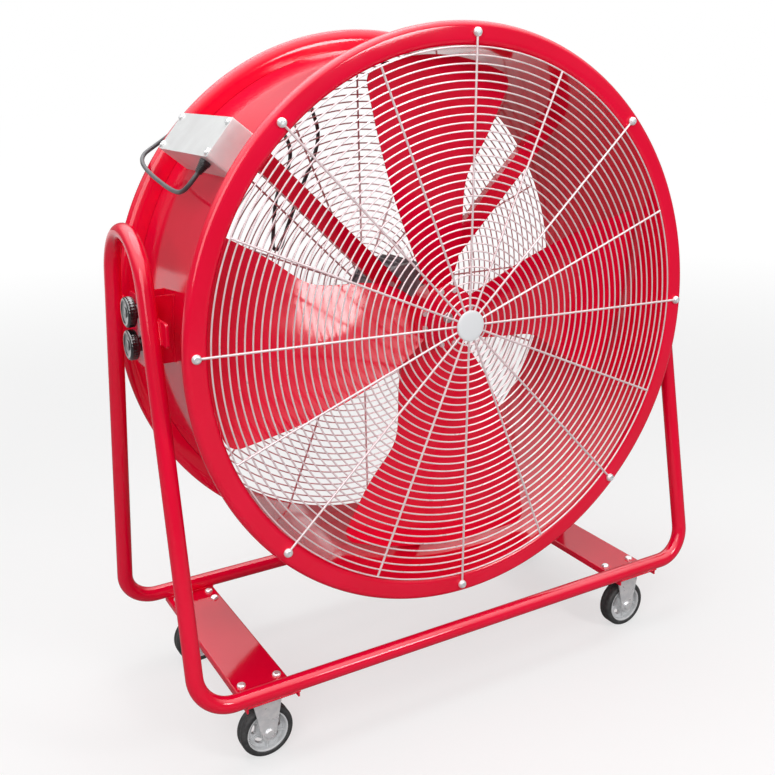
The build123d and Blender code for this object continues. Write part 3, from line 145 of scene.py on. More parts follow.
# Junction box, gland and cord
BOX_ANGLE = math.radians(140.5)
BOX_TOP_R = 0.556
BOX_Y = -0.010
LID_SCREWS = (0.030, 0.116)
BOX_HALF_WIDTH = 0.039
GLAND_R = 0.540
GLAND_Y = -0.098
GLAND_HEX = 0.0092       # half the nut's width
CORD_R = 0.004
PLUG_TOP = (0.162, 0.226, 1.028)

# ---------------------------------------------------------------- shapes


def arc(centre, radius, start, end, steps=6):
    """Points on an arc, its angles in degrees."""
    turns = [math.radians(start + (end - start) * k / steps) for k in range(steps + 1)]
    return [(centre[0] + radius * math.cos(t), centre[1] + radius * math.sin(t)) for t in turns]


def on_circle(radius, angle):
    """Point at a radius and an angle in degrees."""
    return radius * math.cos(math.radians(angle)), radius * math.sin(math.radians(angle))


def mirrored(section):
    """Section of (radius, height) pairs with its mirror image below."""
    return section + [(radius, -height) for radius, height in reversed(section)]


def rounded(width, height, corner, steps=6):
    """Outline of a rectangle with round corners."""
    points = []
    for quarter, (x, y) in enumerate(((1, 1), (-1, 1), (-1, -1), (1, -1))):
        centre = (x * (width / 2 - corner), y * (height / 2 - corner))
        points += arc(centre, corner, 90 * quarter, 90 * quarter + 90, steps)
    return points


def frame_at(origin, out, along=(0, 0, 1)):
    """Frame at a point, its Z outwards and its X as near as can be to a direction."""
    z = Vector(out).normalized()
    x = Vector(along) - z * z.dot(Vector(along))
    x = x.normalized() if x.length > 1e-6 else z.orthogonal().normalized()
    return Matrix.Translation(origin) @ Matrix((x, z.cross(x), z)).transposed().to_4x4()


def axis_frame(y, facing):
    """Frame across the fan axis, its Z to the front (-1) or the rear (1)."""
    return frame_at((0, y, AXIS_Z), (0, facing, 0), (1, 0, 0))


def around(radius, turn, y):
    """Point at a radius and an angle around the fan axis."""
    return Vector((radius * math.cos(turn), y, AXIS_Z + radius * math.sin(turn)))


def bent(points, radii, step=3.0):
    """Path through corner points, each corner rounded to its radius in steps of a few degrees."""
    points = [Vector(point) for point in points]
    path = [points[0]]
    for before, corner, after, radius in zip(points, points[1:], points[2:], radii):
        arriving, leaving = (corner - before).normalized(), (after - corner).normalized()
        turn = arriving.angle(leaving)
        centre = corner + (leaving - arriving).normalized() * radius / math.cos(turn / 2)
        start = corner - arriving * radius * math.tan(turn / 2) - centre
        axis = arriving.cross(leaving).normalized()
        count = math.ceil(math.degrees(turn) / step)
        path += [centre + Matrix.Rotation(turn * k / count, 3, axis) @ start for k in range(count + 1)]
    return path + [points[-1]]


class Shape:
    """Points and faces of a piece, gathered from several skins."""

    def __init__(self):
        self.points, self.faces = [], []

    def loft(self, rings, at=Matrix.Identity(4), wrap=False):
        """Skin over rings of equally many points, capped at both ends, or joined in a loop."""
        base, count = len(self.points), len(rings[0])
        self.points += [at @ Vector(point) for ring in rings for point in ring]
        for index in range(len(rings) - (0 if wrap else 1)):
            low, high = base + index * count, base + (index + 1) % len(rings) * count
            self.faces += [(low + k, low + (k + 1) % count, high + (k + 1) % count, high + k)
                           for k in range(count)]
        if not wrap:
            last = base + (len(rings) - 1) * count
            self.faces.append(tuple(range(base + count - 1, base - 1, -1)))
            self.faces.append(tuple(range(last, last + count)))
        return self

    def lathe(self, profile, at=Matrix.Identity(4), steps=48):
        """Turned form from (radius, height) pairs; a radius may be a function of the angle."""
        turns = [2 * math.pi * k / steps for k in range(steps)]
        rings = []
        for radius, height in profile:
            size = radius if callable(radius) else lambda turn, fixed=radius: fixed
            rings.append([(size(t) * math.cos(t), size(t) * math.sin(t), height) for t in turns])
        return self.loft(rings, at)

    def revolve(self, section, at=Matrix.Identity(4), steps=96):
        """Ring with a closed section of (radius, height) pairs."""
        turns = [2 * math.pi * k / steps for k in range(steps)]
        return self.loft([[(r * math.cos(t), r * math.sin(t), h) for r, h in section] for t in turns],
                         at, wrap=True)

    def tube(self, path, radius, steps=12, closed=False):
        """Round tube along a path; its radius may be a function of the place on the path."""
        path = [Vector(point) for point in path]
        last = len(path) - 1
        turns = [2 * math.pi * k / steps for k in range(steps)]
        across, rings = None, []
        for k, point in enumerate(path):
            ahead = path[(k + 1) % len(path)] if closed else path[min(k + 1, last)]
            behind = path[k - 1] if closed else path[max(k - 1, 0)]
            way = (ahead - behind).normalized()
            across = way.orthogonal() if across is None else across - way * across.dot(way)
            across.normalize()
            size = radius(k) if callable(radius) else radius
            rings.append([point + (across * math.cos(t) + way.cross(across) * math.sin(t)) * size
                          for t in turns])
        return self.loft(rings, wrap=closed)

    def plate(self, outline, holes, low, high, at=Matrix.Identity(4)):
        """Flat piece between two heights, with holes."""
        loops = [outline, *holes]
        flat = [point for loop in loops for point in loop]
        base, count = len(self.points), len(flat)
        for height in (low, high):
            self.points += [at @ Vector((x, y, height)) for x, y in flat]
        for a, b, c in tessellate_polygon([[Vector((x, y, 0)) for x, y in loop] for loop in loops]):
            self.faces += [(base + c, base + b, base + a),
                           (base + count + a, base + count + b, base + count + c)]
        start = base
        for loop in loops:
            for k in range(len(loop)):
                here, after = start + k, start + (k + 1) % len(loop)
                self.faces.append((here, after, after + count, here + count))
            start += len(loop)
        return self

    def bead(self, path, radius=WELD_R):
        """Weld bead along a path, with the ripples of its run."""
        return self.tube(path, lambda k: radius * (1 + 0.13 * math.sin(1.9 * k)), 10)


def straight(start, end, step=0.0012):
    """Evenly spaced points from one place to another."""
    start, end = Vector(start), Vector(end)
    count = max(2, round((end - start).length / step))
    return [start.lerp(end, k / count) for k in range(count + 1)]


def cad_shape(node):
    """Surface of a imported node, to be given soft edges."""
    shape, mesh = Shape(), frame["nodes"][node].data
    shape.points = [corner.co.copy() for corner in mesh.vertices]
    shape.faces = [tuple(face.vertices) for face in mesh.polygons]
    return shape


def piece(shape, name, slot, body, nodes=(), bevel=0.0, crease=35.0, flat=False):
    """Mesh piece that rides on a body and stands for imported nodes.

    Edges above the crease angle are sharp, or bevelled when a bevel is given. Flat first joins the
    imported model's triangles into the faces that they make up.
    """
    mesh = bpy.data.meshes.new(name)
    mesh.from_pydata([tuple(point) for point in shape.points], [], shape.faces)
    work = bmesh.new()
    work.from_mesh(mesh)
    bmesh.ops.remove_doubles(work, verts=work.verts, dist=1e-6)
    if flat:
        bmesh.ops.dissolve_limit(work, angle_limit=math.radians(0.4), verts=work.verts, edges=work.edges)
    bmesh.ops.recalc_face_normals(work, faces=work.faces)
    if bevel:
        sharp = [edge for edge in work.edges
                 if edge.is_manifold and edge.calc_face_angle() > math.radians(crease)]
        bmesh.ops.bevel(work, geom=sharp, offset=bevel, segments=2, profile=0.5, affect="EDGES",
                        clamp_overlap=True)
    work.to_mesh(mesh)
    work.free()
    mesh.shade_smooth()
    mesh.set_sharp_from_angle(angle=math.radians(crease))
    made = bpy.data.objects.new(name, mesh)
    bpy.context.scene.collection.objects.link(made)
    if bevel:
        normals = made.modifiers.new("normals", "WEIGHTED_NORMAL")
        normals.keep_sharp = True
    mesh.materials.append(material_of(slot))
    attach(made, body)
    if nodes:
        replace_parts(made, *nodes)
    return made


# ---------------------------------------------------------------- materials


def new_material(name, base, rough, metallic=0.0, coat=0.0, coat_rough=0.05, specular=0.5, sheen=0.0):
    """A node material, its shader set on its own sockets."""
    made = bpy.data.materials.new(name)
    made.use_nodes = True
    shader = made.node_tree.nodes["Principled BSDF"]
    shader.inputs["Base Color"].default_value = (*base, 1)
    shader.inputs["Roughness"].default_value = rough
    shader.inputs["Metallic"].default_value = metallic
    shader.inputs["Coat Weight"].default_value = coat
    shader.inputs["Coat Roughness"].default_value = coat_rough
    shader.inputs["Specular IOR Level"].default_value = specular
    shader.inputs["Sheen Weight"].default_value = sheen
    return made


def noise(made, scale, detail=2.0, stretch=(1, 1, 1)):
    """Noise over the piece's own coordinates, in metres."""
    nodes, links = made.node_tree.nodes, made.node_tree.links
    place = nodes.new("ShaderNodeTexCoord")
    mapping = nodes.new("ShaderNodeMapping")
    mapping.inputs["Scale"].default_value = stretch
    links.new(place.outputs["Object"], mapping.inputs["Vector"])
    grain = nodes.new("ShaderNodeTexNoise")
    grain.inputs["Scale"].default_value = scale
    grain.inputs["Detail"].default_value = detail
    links.new(mapping.outputs["Vector"], grain.inputs["Vector"])
    return grain.outputs["Fac"]


def ramp(made, value, low, high, socket):
    """Spreads a 0 to 1 value between two colours or two numbers, into a socket of the shader."""
    nodes, links = made.node_tree.nodes, made.node_tree.links
    shader = nodes["Principled BSDF"]
    if isinstance(low, (int, float)):
        spread = nodes.new("ShaderNodeMapRange")
        spread.inputs["From Min"].default_value = 0.3
        spread.inputs["From Max"].default_value = 0.7
        spread.inputs["To Min"].default_value = low
        spread.inputs["To Max"].default_value = high
        links.new(value, spread.inputs["Value"])
        links.new(spread.outputs["Result"], shader.inputs[socket])
        return
    spread = nodes.new("ShaderNodeValToRGB")
    spread.color_ramp.elements[0].position = 0.3
    spread.color_ramp.elements[1].position = 0.7
    spread.color_ramp.elements[0].color = (*low, 1)
    spread.color_ramp.elements[1].color = (*high, 1)
    links.new(value, spread.inputs["Fac"])
    links.new(spread.outputs["Color"], shader.inputs[socket])


def bump(made, value, depth, strength=1.0):
    """Relief of a depth in metres, chained after any relief that is already there."""
    nodes, links = made.node_tree.nodes, made.node_tree.links
    shader = nodes["Principled BSDF"]
    relief = nodes.new("ShaderNodeBump")
    relief.inputs["Distance"].default_value = depth
    relief.inputs["Strength"].default_value = strength
    links.new(value, relief.inputs["Height"])
    if shader.inputs["Normal"].is_linked:
        links.new(shader.inputs["Normal"].links[0].from_socket, relief.inputs["Normal"])
    links.new(relief.outputs["Normal"], shader.inputs["Normal"])


def red_paint():
    """Glossy crimson enamel with a faint orange peel and uneven gloss."""
    made = new_material("red_paint", (0.84, 0.002, 0.036), 0.09, specular=0.42)
    ramp(made, noise(made, 5.0, 3.0), (0.79, 0.0015, 0.030), (0.87, 0.0028, 0.042), "Base Color")
    ramp(made, noise(made, 18.0, 4.0), 0.06, 0.12, "Roughness")
    bump(made, noise(made, 210.0), 0.0004, 0.06)
    return made


def grille_wire():
    """Bright plated wire, tinted pink as a painted reflection of the red drum and blades, a little dull
    between its welds.
    """
    # the pink in the base colour and in both ramp colours is a painted reflection of the red drum and
    # blades
    made = new_material("grille_wire", (0.80, 0.66, 0.68), 0.32, metallic=0.25)
    ramp(made, noise(made, 45.0, 3.0), (0.76, 0.62, 0.64), (0.85, 0.71, 0.73), "Base Color")
    ramp(made, noise(made, 60.0), 0.26, 0.42, "Roughness")
    bump(made, noise(made, 900.0), 0.0001, 0.2)
    return made


def zinc():
    """Zinc-plated steel with a cloudy spangle."""
    made = new_material("zinc", (0.80, 0.81, 0.82), 0.3, metallic=0.55)
    ramp(made, noise(made, 90.0, 4.0), (0.72, 0.73, 0.75), (0.88, 0.88, 0.88), "Base Color")
    ramp(made, noise(made, 60.0), 0.24, 0.45, "Roughness")
    bump(made, noise(made, 1500.0), 0.00004, 0.3)
    return made


def motor_grey():
    """Grey enamel on cast iron, sand-cast grain below it."""
    made = new_material("motor_grey", (0.20, 0.21, 0.23), 0.42, coat=0.2, coat_rough=0.2)
    ramp(made, noise(made, 30.0, 3.0), (0.17, 0.18, 0.20), (0.25, 0.26, 0.28), "Base Color")
    ramp(made, noise(made, 80.0, 3.0), 0.34, 0.52, "Roughness")
    bump(made, noise(made, 700.0), 0.0003, 0.4)
    return made


def core_steel():
    """Bare machined steel with fine turning marks."""
    made = new_material("core_steel", (0.55, 0.55, 0.56), 0.35, metallic=1.0)
    ramp(made, noise(made, 200.0, 3.0, (1, 12, 1)), 0.25, 0.5, "Roughness")
    bump(made, noise(made, 900.0, 2.0, (1, 20, 1)), 0.00003, 0.4)
    return made


def box_white():
    """White enamel of the junction box, faintly grey with handling."""
    made = new_material("box_white", (0.84, 0.84, 0.84), 0.36, coat=0.15, coat_rough=0.15)
    ramp(made, noise(made, 25.0, 4.0), (0.68, 0.68, 0.68), (0.76, 0.77, 0.77), "Base Color")
    bump(made, noise(made, 900.0), 0.0001, 0.25)
    return made


def badge_white():
    """Satin white plastic."""
    made = new_material("badge_white", (0.82, 0.83, 0.85), 0.35, coat=0.2, coat_rough=0.1)
    ramp(made, noise(made, 120.0), 0.3, 0.42, "Roughness")
    bump(made, noise(made, 1200.0), 0.00005, 0.2)
    return made


def black_plastic():
    """Black moulded plastic with a fine grain."""
    made = new_material("black_plastic", (0.018, 0.018, 0.02), 0.45)
    ramp(made, noise(made, 60.0), 0.38, 0.55, "Roughness")
    bump(made, noise(made, 2200.0), 0.0001, 0.4)
    return made


def knob_black():
    """Polished black plastic, finely scratched."""
    made = new_material("knob_black", (0.009, 0.009, 0.011), 0.18, coat=0.8, coat_rough=0.05)
    ramp(made, noise(made, 80.0, 4.0), 0.12, 0.26, "Roughness")
    bump(made, noise(made, 1500.0), 0.00004, 0.2)
    return made


def cord_black():
    """Flexible black sheath, a little dusty."""
    made = new_material("cord_black", (0.03, 0.03, 0.034), 0.5, sheen=0.15)
    ramp(made, noise(made, 50.0, 3.0), (0.022, 0.022, 0.026), (0.045, 0.045, 0.05), "Base Color")
    bump(made, noise(made, 1500.0), 0.0001, 0.3)
    return made


def tyre_rubber():
    """Black rubber, scuffed grey where it rolls."""
    made = new_material("tyre_rubber", (0.02, 0.02, 0.021), 0.6)
    ramp(made, noise(made, 110.0, 5.0), (0.016, 0.016, 0.017), (0.05, 0.05, 0.05), "Base Color")
    ramp(made, noise(made, 140.0, 3.0), 0.5, 0.75, "Roughness")
    bump(made, noise(made, 900.0, 3.0), 0.0003, 0.5)
    return made


def hub_grey():
    """Light grey moulded wheel centre."""
    made = new_material("hub_grey", (0.66, 0.67, 0.68), 0.4)
    ramp(made, noise(made, 70.0, 3.0), (0.58, 0.59, 0.60), (0.70, 0.71, 0.72), "Base Color")
    bump(made, noise(made, 1500.0), 0.0001, 0.3)
    return made


MATERIALS = {maker.__name__: maker() for maker in (
    red_paint, grille_wire, zinc, motor_grey, core_steel, box_white, badge_white, black_plastic,
    knob_black, cord_black, tyre_rubber, hub_grey)}
SLOT_MATERIALS = {"stand_paint": "red_paint"}


def material_of(slot):
    """Material of a slot of the record."""
    return MATERIALS[SLOT_MATERIALS.get(slot, slot)]


def dress_frame():
    """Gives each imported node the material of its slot."""
    for part in frame["record"]["subparts"]:
        node = frame["nodes"][part["node"]]
        node.data.materials.clear()
        node.data.materials.append(material_of(part["material_slot"]))


# ---------------------------------------------------------------- drum and grilles


def rim_path(inset):
    """One side of a rolled rim's sheet, from its lip round to the drum wall, as (radius, height)."""
    low, high = RIM_R - RIM_WIDTH + inset, RIM_R - inset
    back, front = HALF_DEPTH - RIM_DEPTH + inset, HALF_DEPTH - inset
    bend = RIM_ROUND - inset
    across, along = (size - inset for size in RIM_SHOULDER)
    shoulder = [(high - across + across * x, back + along + along * y)
                for x, y in arc((0, 0), 1, -90, 0, 12)]
    return ([(LIP_R, back)] + shoulder
            + arc((high - bend, front - bend), bend, 0, 90, 9)
            + arc((low + bend, front - bend), bend, 90, 180, 9))


def drum_shell():
    """Drum wall and both rolled rims, turned from the section of their sheet."""
    section = []
    for inset in (0, SHEET):
        side = mirrored(rim_path(inset))
        section += side if not section else side[::-1]
    piece(Shape().revolve(section, axis_frame(0, 1), 288), "drum_sheet", "red_paint", "drum",
          ["drum_shell"])


def spoke_turns(facing, step=1):
    """Angles of a grille's spokes around the fan axis, or of every second one."""
    start = math.radians(SPOKE_TURN[facing])
    return [start + 2 * math.pi * k / SPOKE_COUNT for k in range(0, SPOKE_COUNT, step)]


def grille(name, facing):
    """Round wire rings under spokes, every second spoke ending in a pressed eye on the rim."""
    shape = Shape()
    ring_y = facing * (HALF_DEPTH + RING_WIRE / 2)
    spoke_y = facing * (HALF_DEPTH + GRILLE_THICK - SPOKE_WIRE / 2)
    inner, outer = RING_R
    for k in range(RING_COUNT):
        radius = inner + (outer - inner) * k / (RING_COUNT - 1)
        steps = round(72 + 200 * radius / outer)
        shape.tube([around(radius, 2 * math.pi * n / steps, ring_y) for n in range(steps)],
                   RING_WIRE / 2, 10, closed=True)
    for k, turn in enumerate(spoke_turns(facing)):
        reach = outer if k % 2 else SCREW_CIRCLE_R - EYE_R
        shape.tube([around(inner, turn, spoke_y), around(reach, turn, spoke_y)], SPOKE_WIRE / 2, 12)
        if k % 2 == 0:
            eye = frame_at(around(SCREW_CIRCLE_R, turn, facing * HALF_DEPTH), (0, facing, 0))
            section = [(EYE_R + r, z + GRILLE_THICK / 2) for r, z in
                       rounded(EYE_WIRE, GRILLE_THICK, EYE_WIRE / 2 * 0.95, 5)]
            shape.revolve(section, eye, 32)
    piece(shape, f"{name}_wires", "grille_wire", "drum", [name])


def grille_badge():
    """Plain domed cap over the middle of the front grille."""
    profile = [(0, -GRILLE_THICK), (0.0214, -GRILLE_THICK), (0.0214, 0), (0.0282, 0), (BADGE_R, 0.0009)]
    profile += arc((BADGE_R - 0.0028, 0.0014), 0.0028, 0, 65, 6)
    profile += [(0.022, 0.0042), (0.012, 0.0046), (0, 0.0047)]
    at = axis_frame(-HALF_DEPTH - GRILLE_THICK, -1)
    piece(Shape().lathe(profile, at, 96), "badge_cap", "badge_white", "drum", ["grille_badge"])


def cross(turn, reach=0.0034, half=0.0009):
    """Radius of a cross recess at an angle."""
    fold = (turn + math.pi / 4) % (math.pi / 2) - math.pi / 4
    return min(reach / math.cos(fold), half / max(abs(math.sin(fold)), 1e-6))


def pan_screw(shape, at):
    """Pan-head screw with a cross recess."""
    radius, height = SCREW_HEAD
    profile = [(0, -0.003), (0.003, -0.003), (0.003, 0), (radius, 0), (radius, height * 0.35)]
    profile += arc((radius - height * 0.55, height * 0.38), height * 0.55, 10, 70, 5)
    profile += [(0.0040, height * 0.97), (cross, height)]
    profile += [(lambda turn: cross(turn) * 0.8, height * 0.45), (0, height * 0.35)]
    shape.lathe(profile, at, 48)


def drum_screws():
    """Screws of both grilles on their washers, and those of the box's lid."""
    shape = Shape()
    washer_r, washer_thick = WASHER
    washer = [(SCREW_HOLE_R, 0), (washer_r, 0), (washer_r, washer_thick * 0.7),
              (washer_r * 0.97, washer_thick), (SCREW_HOLE_R, washer_thick)]
    flatter = Matrix.Scale(0.85, 4, (0, 0, 1))
    for facing in (-1, 1):
        for k, turn in enumerate(spoke_turns(facing, 2)):
            seat = around(SCREW_CIRCLE_R, turn, facing * (HALF_DEPTH + GRILLE_THICK))
            tilted = (math.cos(2.4 * k), 0, math.sin(2.4 * k))
            shape.revolve(washer, frame_at(seat, (0, facing, 0)), 40)
            seat += Vector((0, facing * washer_thick, 0))
            pan_screw(shape, frame_at(seat, (0, facing, 0), tilted) @ flatter)
    out = (math.cos(BOX_ANGLE), 0, math.sin(BOX_ANGLE))
    across, along = LID_SCREWS
    for i in (-1, 1):
        for j in (-1, 1):
            seat = around(BOX_TOP_R, BOX_ANGLE, BOX_Y + j * along)
            seat += Vector((-math.sin(BOX_ANGLE), 0, math.cos(BOX_ANGLE))) * i * across
            pan_screw(shape, frame_at(seat, out, (i, j, 0.3)))
    piece(shape, "pan_head_screws", "zinc", "drum", ["drum_screws"])


# ---------------------------------------------------------------- stand


def frame_tube(name, side):
    """Bent tube of one side, with its legs, its arch and half of both floor bars."""
    x = side * LEG_X
    corners = [(0, -BAR_Y, BAR_Z), (x, -BAR_Y, BAR_Z), (x, 0, APEX_Z), (x, BAR_Y, BAR_Z),
               (0, BAR_Y, BAR_Z)]
    path = bent(corners, [BEND_R, ARCH_R, BEND_R])
    piece(Shape().tube(path, TUBE_R, 56), f"{name}_bent", "stand_paint", "stand", [name])


def stand_welds():
    """Weld beads of the floor bars on the channels and of the legs on the pivot plates."""
    shape = Shape()
    for side in SIDES.values():
        for end in (-1, 1):
            for edge in (-1, 1):
                x, y, z = side * CASTER_X, end * BAR_Y + edge * BAR_WELD, CHANNEL_TOP + WELD_LIFT
                shape.bead(straight((x - CHANNEL_HALF, y, z), (x + CHANNEL_HALF, y, z)))
                ends = [(side * (PLATE_FACE_X + WELD_LIFT),
                         end * (BAR_Y - (height - BAR_Z) * math.tan(LEAN)) + edge * LEG_WELD, height)
                        for height in STRAP_Z]
                shape.bead(straight(*ends))
    piece(shape, "stand_welds", "stand_paint", "stand")


def bracket_welds():
    """Weld beads of the tilt brackets' edges on the drum wall."""
    shape = Shape()
    low, high = BRACKET_Z
    count = 90
    heights = [low + (high - low) * k / count for k in range(count + 1)]
    for side in SIDES.values():
        for edge in (-1, 1):
            y = edge * (BRACKET_HALF + BRACKET_WELD_LIFT)
            shape.bead([(side * (math.sqrt(WALL_R ** 2 - z ** 2) + BRACKET_WELD_LIFT), y, AXIS_Z + z)
                        for z in heights], BRACKET_WELD_R)
    piece(shape, "bracket_welds", "red_paint", "drum")


def knob(name, side, height):
    """Round clamping knob with a fluted edge and a dished face, bored for its stud."""
    flutes, depth = KNOB_FLUTES

    def grip(turn):
        return KNOB_R - depth * (0.5 - 0.5 * math.cos(flutes * turn)) ** 2

    profile = [(0, 0.019), (0.0063, 0.019), (0.0063, 0), (0.0122, 0), (0.013, 0.0008), (0.0131, 0.0058),
               (0.0142, 0.0069), (0.0215, 0.0072), (0.0247, 0.0082), (0.0262, 0.0098), (grip, 0.0118),
               (grip, 0.0200), (0.0262, 0.0222), (0.0248, 0.0235), (0.0228, 0.0240), (0.0208, 0.0238),
               (0.0188, 0.0228), (0.0165, 0.0222), (0.0100, 0.0219), (0.0094, 0.0224), (0.0086, 0.0228),
               (0, 0.0230)]
    at = frame_at((side * KNOB_BASE_X, 0, AXIS_Z + height), (side, 0, 0))
    piece(Shape().lathe(profile, at, flutes * 6), f"{name}_grip", "knob_black", name, [name], crease=42)


# ---------------------------------------------------------------- wheels


def wheel(corner, side, end):
    """Tyre with a rounded shoulder, and a moulded centre with kidney holes and ribs."""
    body = f"wheel_{corner}"
    at = frame_at((side * CASTER_X, end * CASTER_Y, WHEEL_R), (0, -1, 0), (1, 0, 0))
    shoulder_r, shoulder_z = WHEEL_R - TYRE_ROUND, TYRE_HALF - TYRE_ROUND
    tyre = [(TYRE_BORE_R, 0.0135), (0.0402, 0.0149), (shoulder_r, TYRE_HALF)]
    tyre += arc((shoulder_r, shoulder_z), TYRE_ROUND, 90, 0, 8)
    tyre += [(WHEEL_R, 0.0012), (WHEEL_R - 0.0004, 0.0006)]
    piece(Shape().revolve(mirrored(tyre), at, 128), f"tyre_{corner}_rubber", "tyre_rubber", body,
          [f"tyre_{corner}"], crease=50)

    shape = Shape()
    rim = [(TYRE_BORE_R, 0.0138), (0.0372, 0.0138), (0.0360, 0.0126), (0.0350, 0.0042)]
    shape.revolve(mirrored(rim), at, 96)
    boss = [(HUB_BORE_R, 0.017), (0.0108, 0.017), (0.0120, 0.0158), (0.0128, 0.0042)]
    shape.revolve(mirrored(boss), at, 48)
    web_r, web_bore_r = 0.0362, 0.0090
    holes = [arc((0, 0), web_bore_r, 0, 354, 48)]
    outer, inner = HUB_HOLE_R + HUB_HOLE_HALF, HUB_HOLE_R - HUB_HOLE_HALF
    for k in range(HUB_SPOKES):
        middle = 90 + 360 / HUB_SPOKES * k
        low, high = middle - HUB_HOLE_SPAN, middle + HUB_HOLE_SPAN
        first, last = on_circle(HUB_HOLE_R, low), on_circle(HUB_HOLE_R, high)
        holes.append(arc((0, 0), outer, low, high, 8)[1:-1]
                     + arc(last, HUB_HOLE_HALF, high, high + 180, 8)
                     + arc((0, 0), inner, high, low, 8)[1:-1]
                     + arc(first, HUB_HOLE_HALF, low + 180, low + 360, 8))
        rib = Matrix.Rotation(math.radians(middle + 180 / HUB_SPOKES), 4, "Z")
        shape.plate([(0.0115, -0.0011), (0.0358, -0.0011), (0.0358, 0.0011), (0.0115, 0.0011)], [],
                    -0.0085, 0.0085, at @ rib)
    shape.plate(arc((0, 0), web_r, 0, 356.25, 95), holes, -0.004, 0.004, at)
    piece(shape, f"wheel_hub_{corner}_moulding", "hub_grey", body, [f"wheel_hub_{corner}"], bevel=0.0005)


# ---------------------------------------------------------------- motor


def bell_edge():
    """Edge of an end bell, from the barrel round to its face, as (radius, height)."""
    return [(BELL_EDGE_R, 0)] + arc((BELL_EDGE_R - BELL_ROUND, BELL_DEPTH - BELL_ROUND), BELL_ROUND,
                                    0, 90, 8)


def motor_bell_front():
    """Front end bell with short ribs between the places of the arms."""
    at = axis_frame(BELL_INNER_Y[-1], -1)
    bore, (seat_inner, seat_outer), floor_z = BELL_BORE_R, BELL_SEAT_R, 0.013
    section = bell_edge() + [(0.0700, BELL_DEPTH), (0.0690, 0.0172), (0.0545, 0.0172),
                             (0.0535, BELL_DEPTH), (bore + 0.018, BELL_DEPTH), (bore + 0.016, 0.0165),
                             (bore + 0.0015, 0.0165), (bore, 0.0155), (bore, 0.0125),
                             (seat_inner, 0.0122), (seat_inner, 0), (seat_outer, 0),
                             (seat_outer, floor_z), (BELL_WALL_R, floor_z), (BELL_WALL_R, 0)]
    shape = Shape().revolve(section, at, 128)
    for middle in BELL_RIBS:
        for off in (-BELL_RIB_STEP, 0, BELL_RIB_STEP):
            turned = at @ Matrix.Rotation(math.radians(middle + off), 4, "Z")
            shape.plate([(0.033, -0.0015), (0.0755, -0.0009), (0.0755, 0.0009), (0.033, 0.0015)], [],
                        0.0155, 0.0196, turned)
    piece(shape, "motor_bell_front_cast", "motor_grey", "drum", ["motor_bell_front"], bevel=0.0006)


def motor_bell_rear():
    """Rear end bell with radial air slots and a closed cap over the bearing."""
    at = axis_frame(BELL_INNER_Y[1], 1)
    floor_z = 0.013
    shape = Shape().revolve(bell_edge() + [(0.0680, BELL_DEPTH), (0.0665, 0.0168), (0.0665, floor_z),
                                           (BELL_WALL_R, floor_z), (BELL_WALL_R, 0)], at, 128)
    slots = []
    for k in range(BELL_SLOTS):
        turn = 360 / BELL_SLOTS * k
        near, far = [on_circle(radius, turn) for radius in BELL_SLOT_R]
        near_half, far_half = BELL_SLOT_HALF
        slots.append(arc(near, near_half, turn + 90, turn + 270, 5)
                     + arc(far, far_half, turn - 90, turn + 90, 5))
    shape.plate(arc((0, 0), 0.0675, 0, 357.5, 143), slots, 0.0132, 0.0166, at)
    seat_inner, seat_outer = BELL_SEAT_R
    shape.revolve([(seat_inner, 0), (seat_outer, 0), (seat_outer, 0.0140), (seat_inner, 0.0140)], at, 64)
    shape.lathe([(0, 0.0126), (0.0315, 0.0126), (0.0315, 0.0172), (0.0300, 0.0184), (0.0135, 0.0188),
                 (0.0120, 0.0196), (0, 0.0198)], at, 96)
    piece(shape, "motor_bell_rear_cast", "motor_grey", "drum", ["motor_bell_rear"], bevel=0.0004)


# ---------------------------------------------------------------- gland and plug


def cable_gland():
    """Gland with a hexagon nut, a domed cap and a ribbed strain relief."""
    down = Vector((-math.sin(BOX_ANGLE), 0, math.cos(BOX_ANGLE)))
    at = frame_at(around(GLAND_R, BOX_ANGLE, GLAND_Y) + down * BOX_HALF_WIDTH, down, (0, 1, 0))

    def hexagon(turn):
        fold = (turn + math.pi / 6) % (math.pi / 3) - math.pi / 6
        return GLAND_HEX / math.cos(fold)

    profile = [(0, -0.0045), (0.008, -0.0045), (0.008, 0), (0.0088, 0.0002), (hexagon, 0.0008),
               (hexagon, 0.0052), (0.0090, 0.0060), (0.0093, 0.0064), (0.0093, 0.0078)]
    for k in range(5):
        radius, height = 0.0086 - 0.00055 * k, 0.0086 + 0.0029 * k
        profile += [(radius - 0.0011, height), (radius, height + 0.0006), (radius, height + 0.0018),
                    (radius - 0.0011, height + 0.0024)]
    profile += [(0.0050, 0.0236), (0.0043, 0.0240), (0, 0.0240)]
    piece(Shape().lathe(profile, at, 72), "gland_moulding", "black_plastic", "drum", ["cable_gland"],
          crease=30)


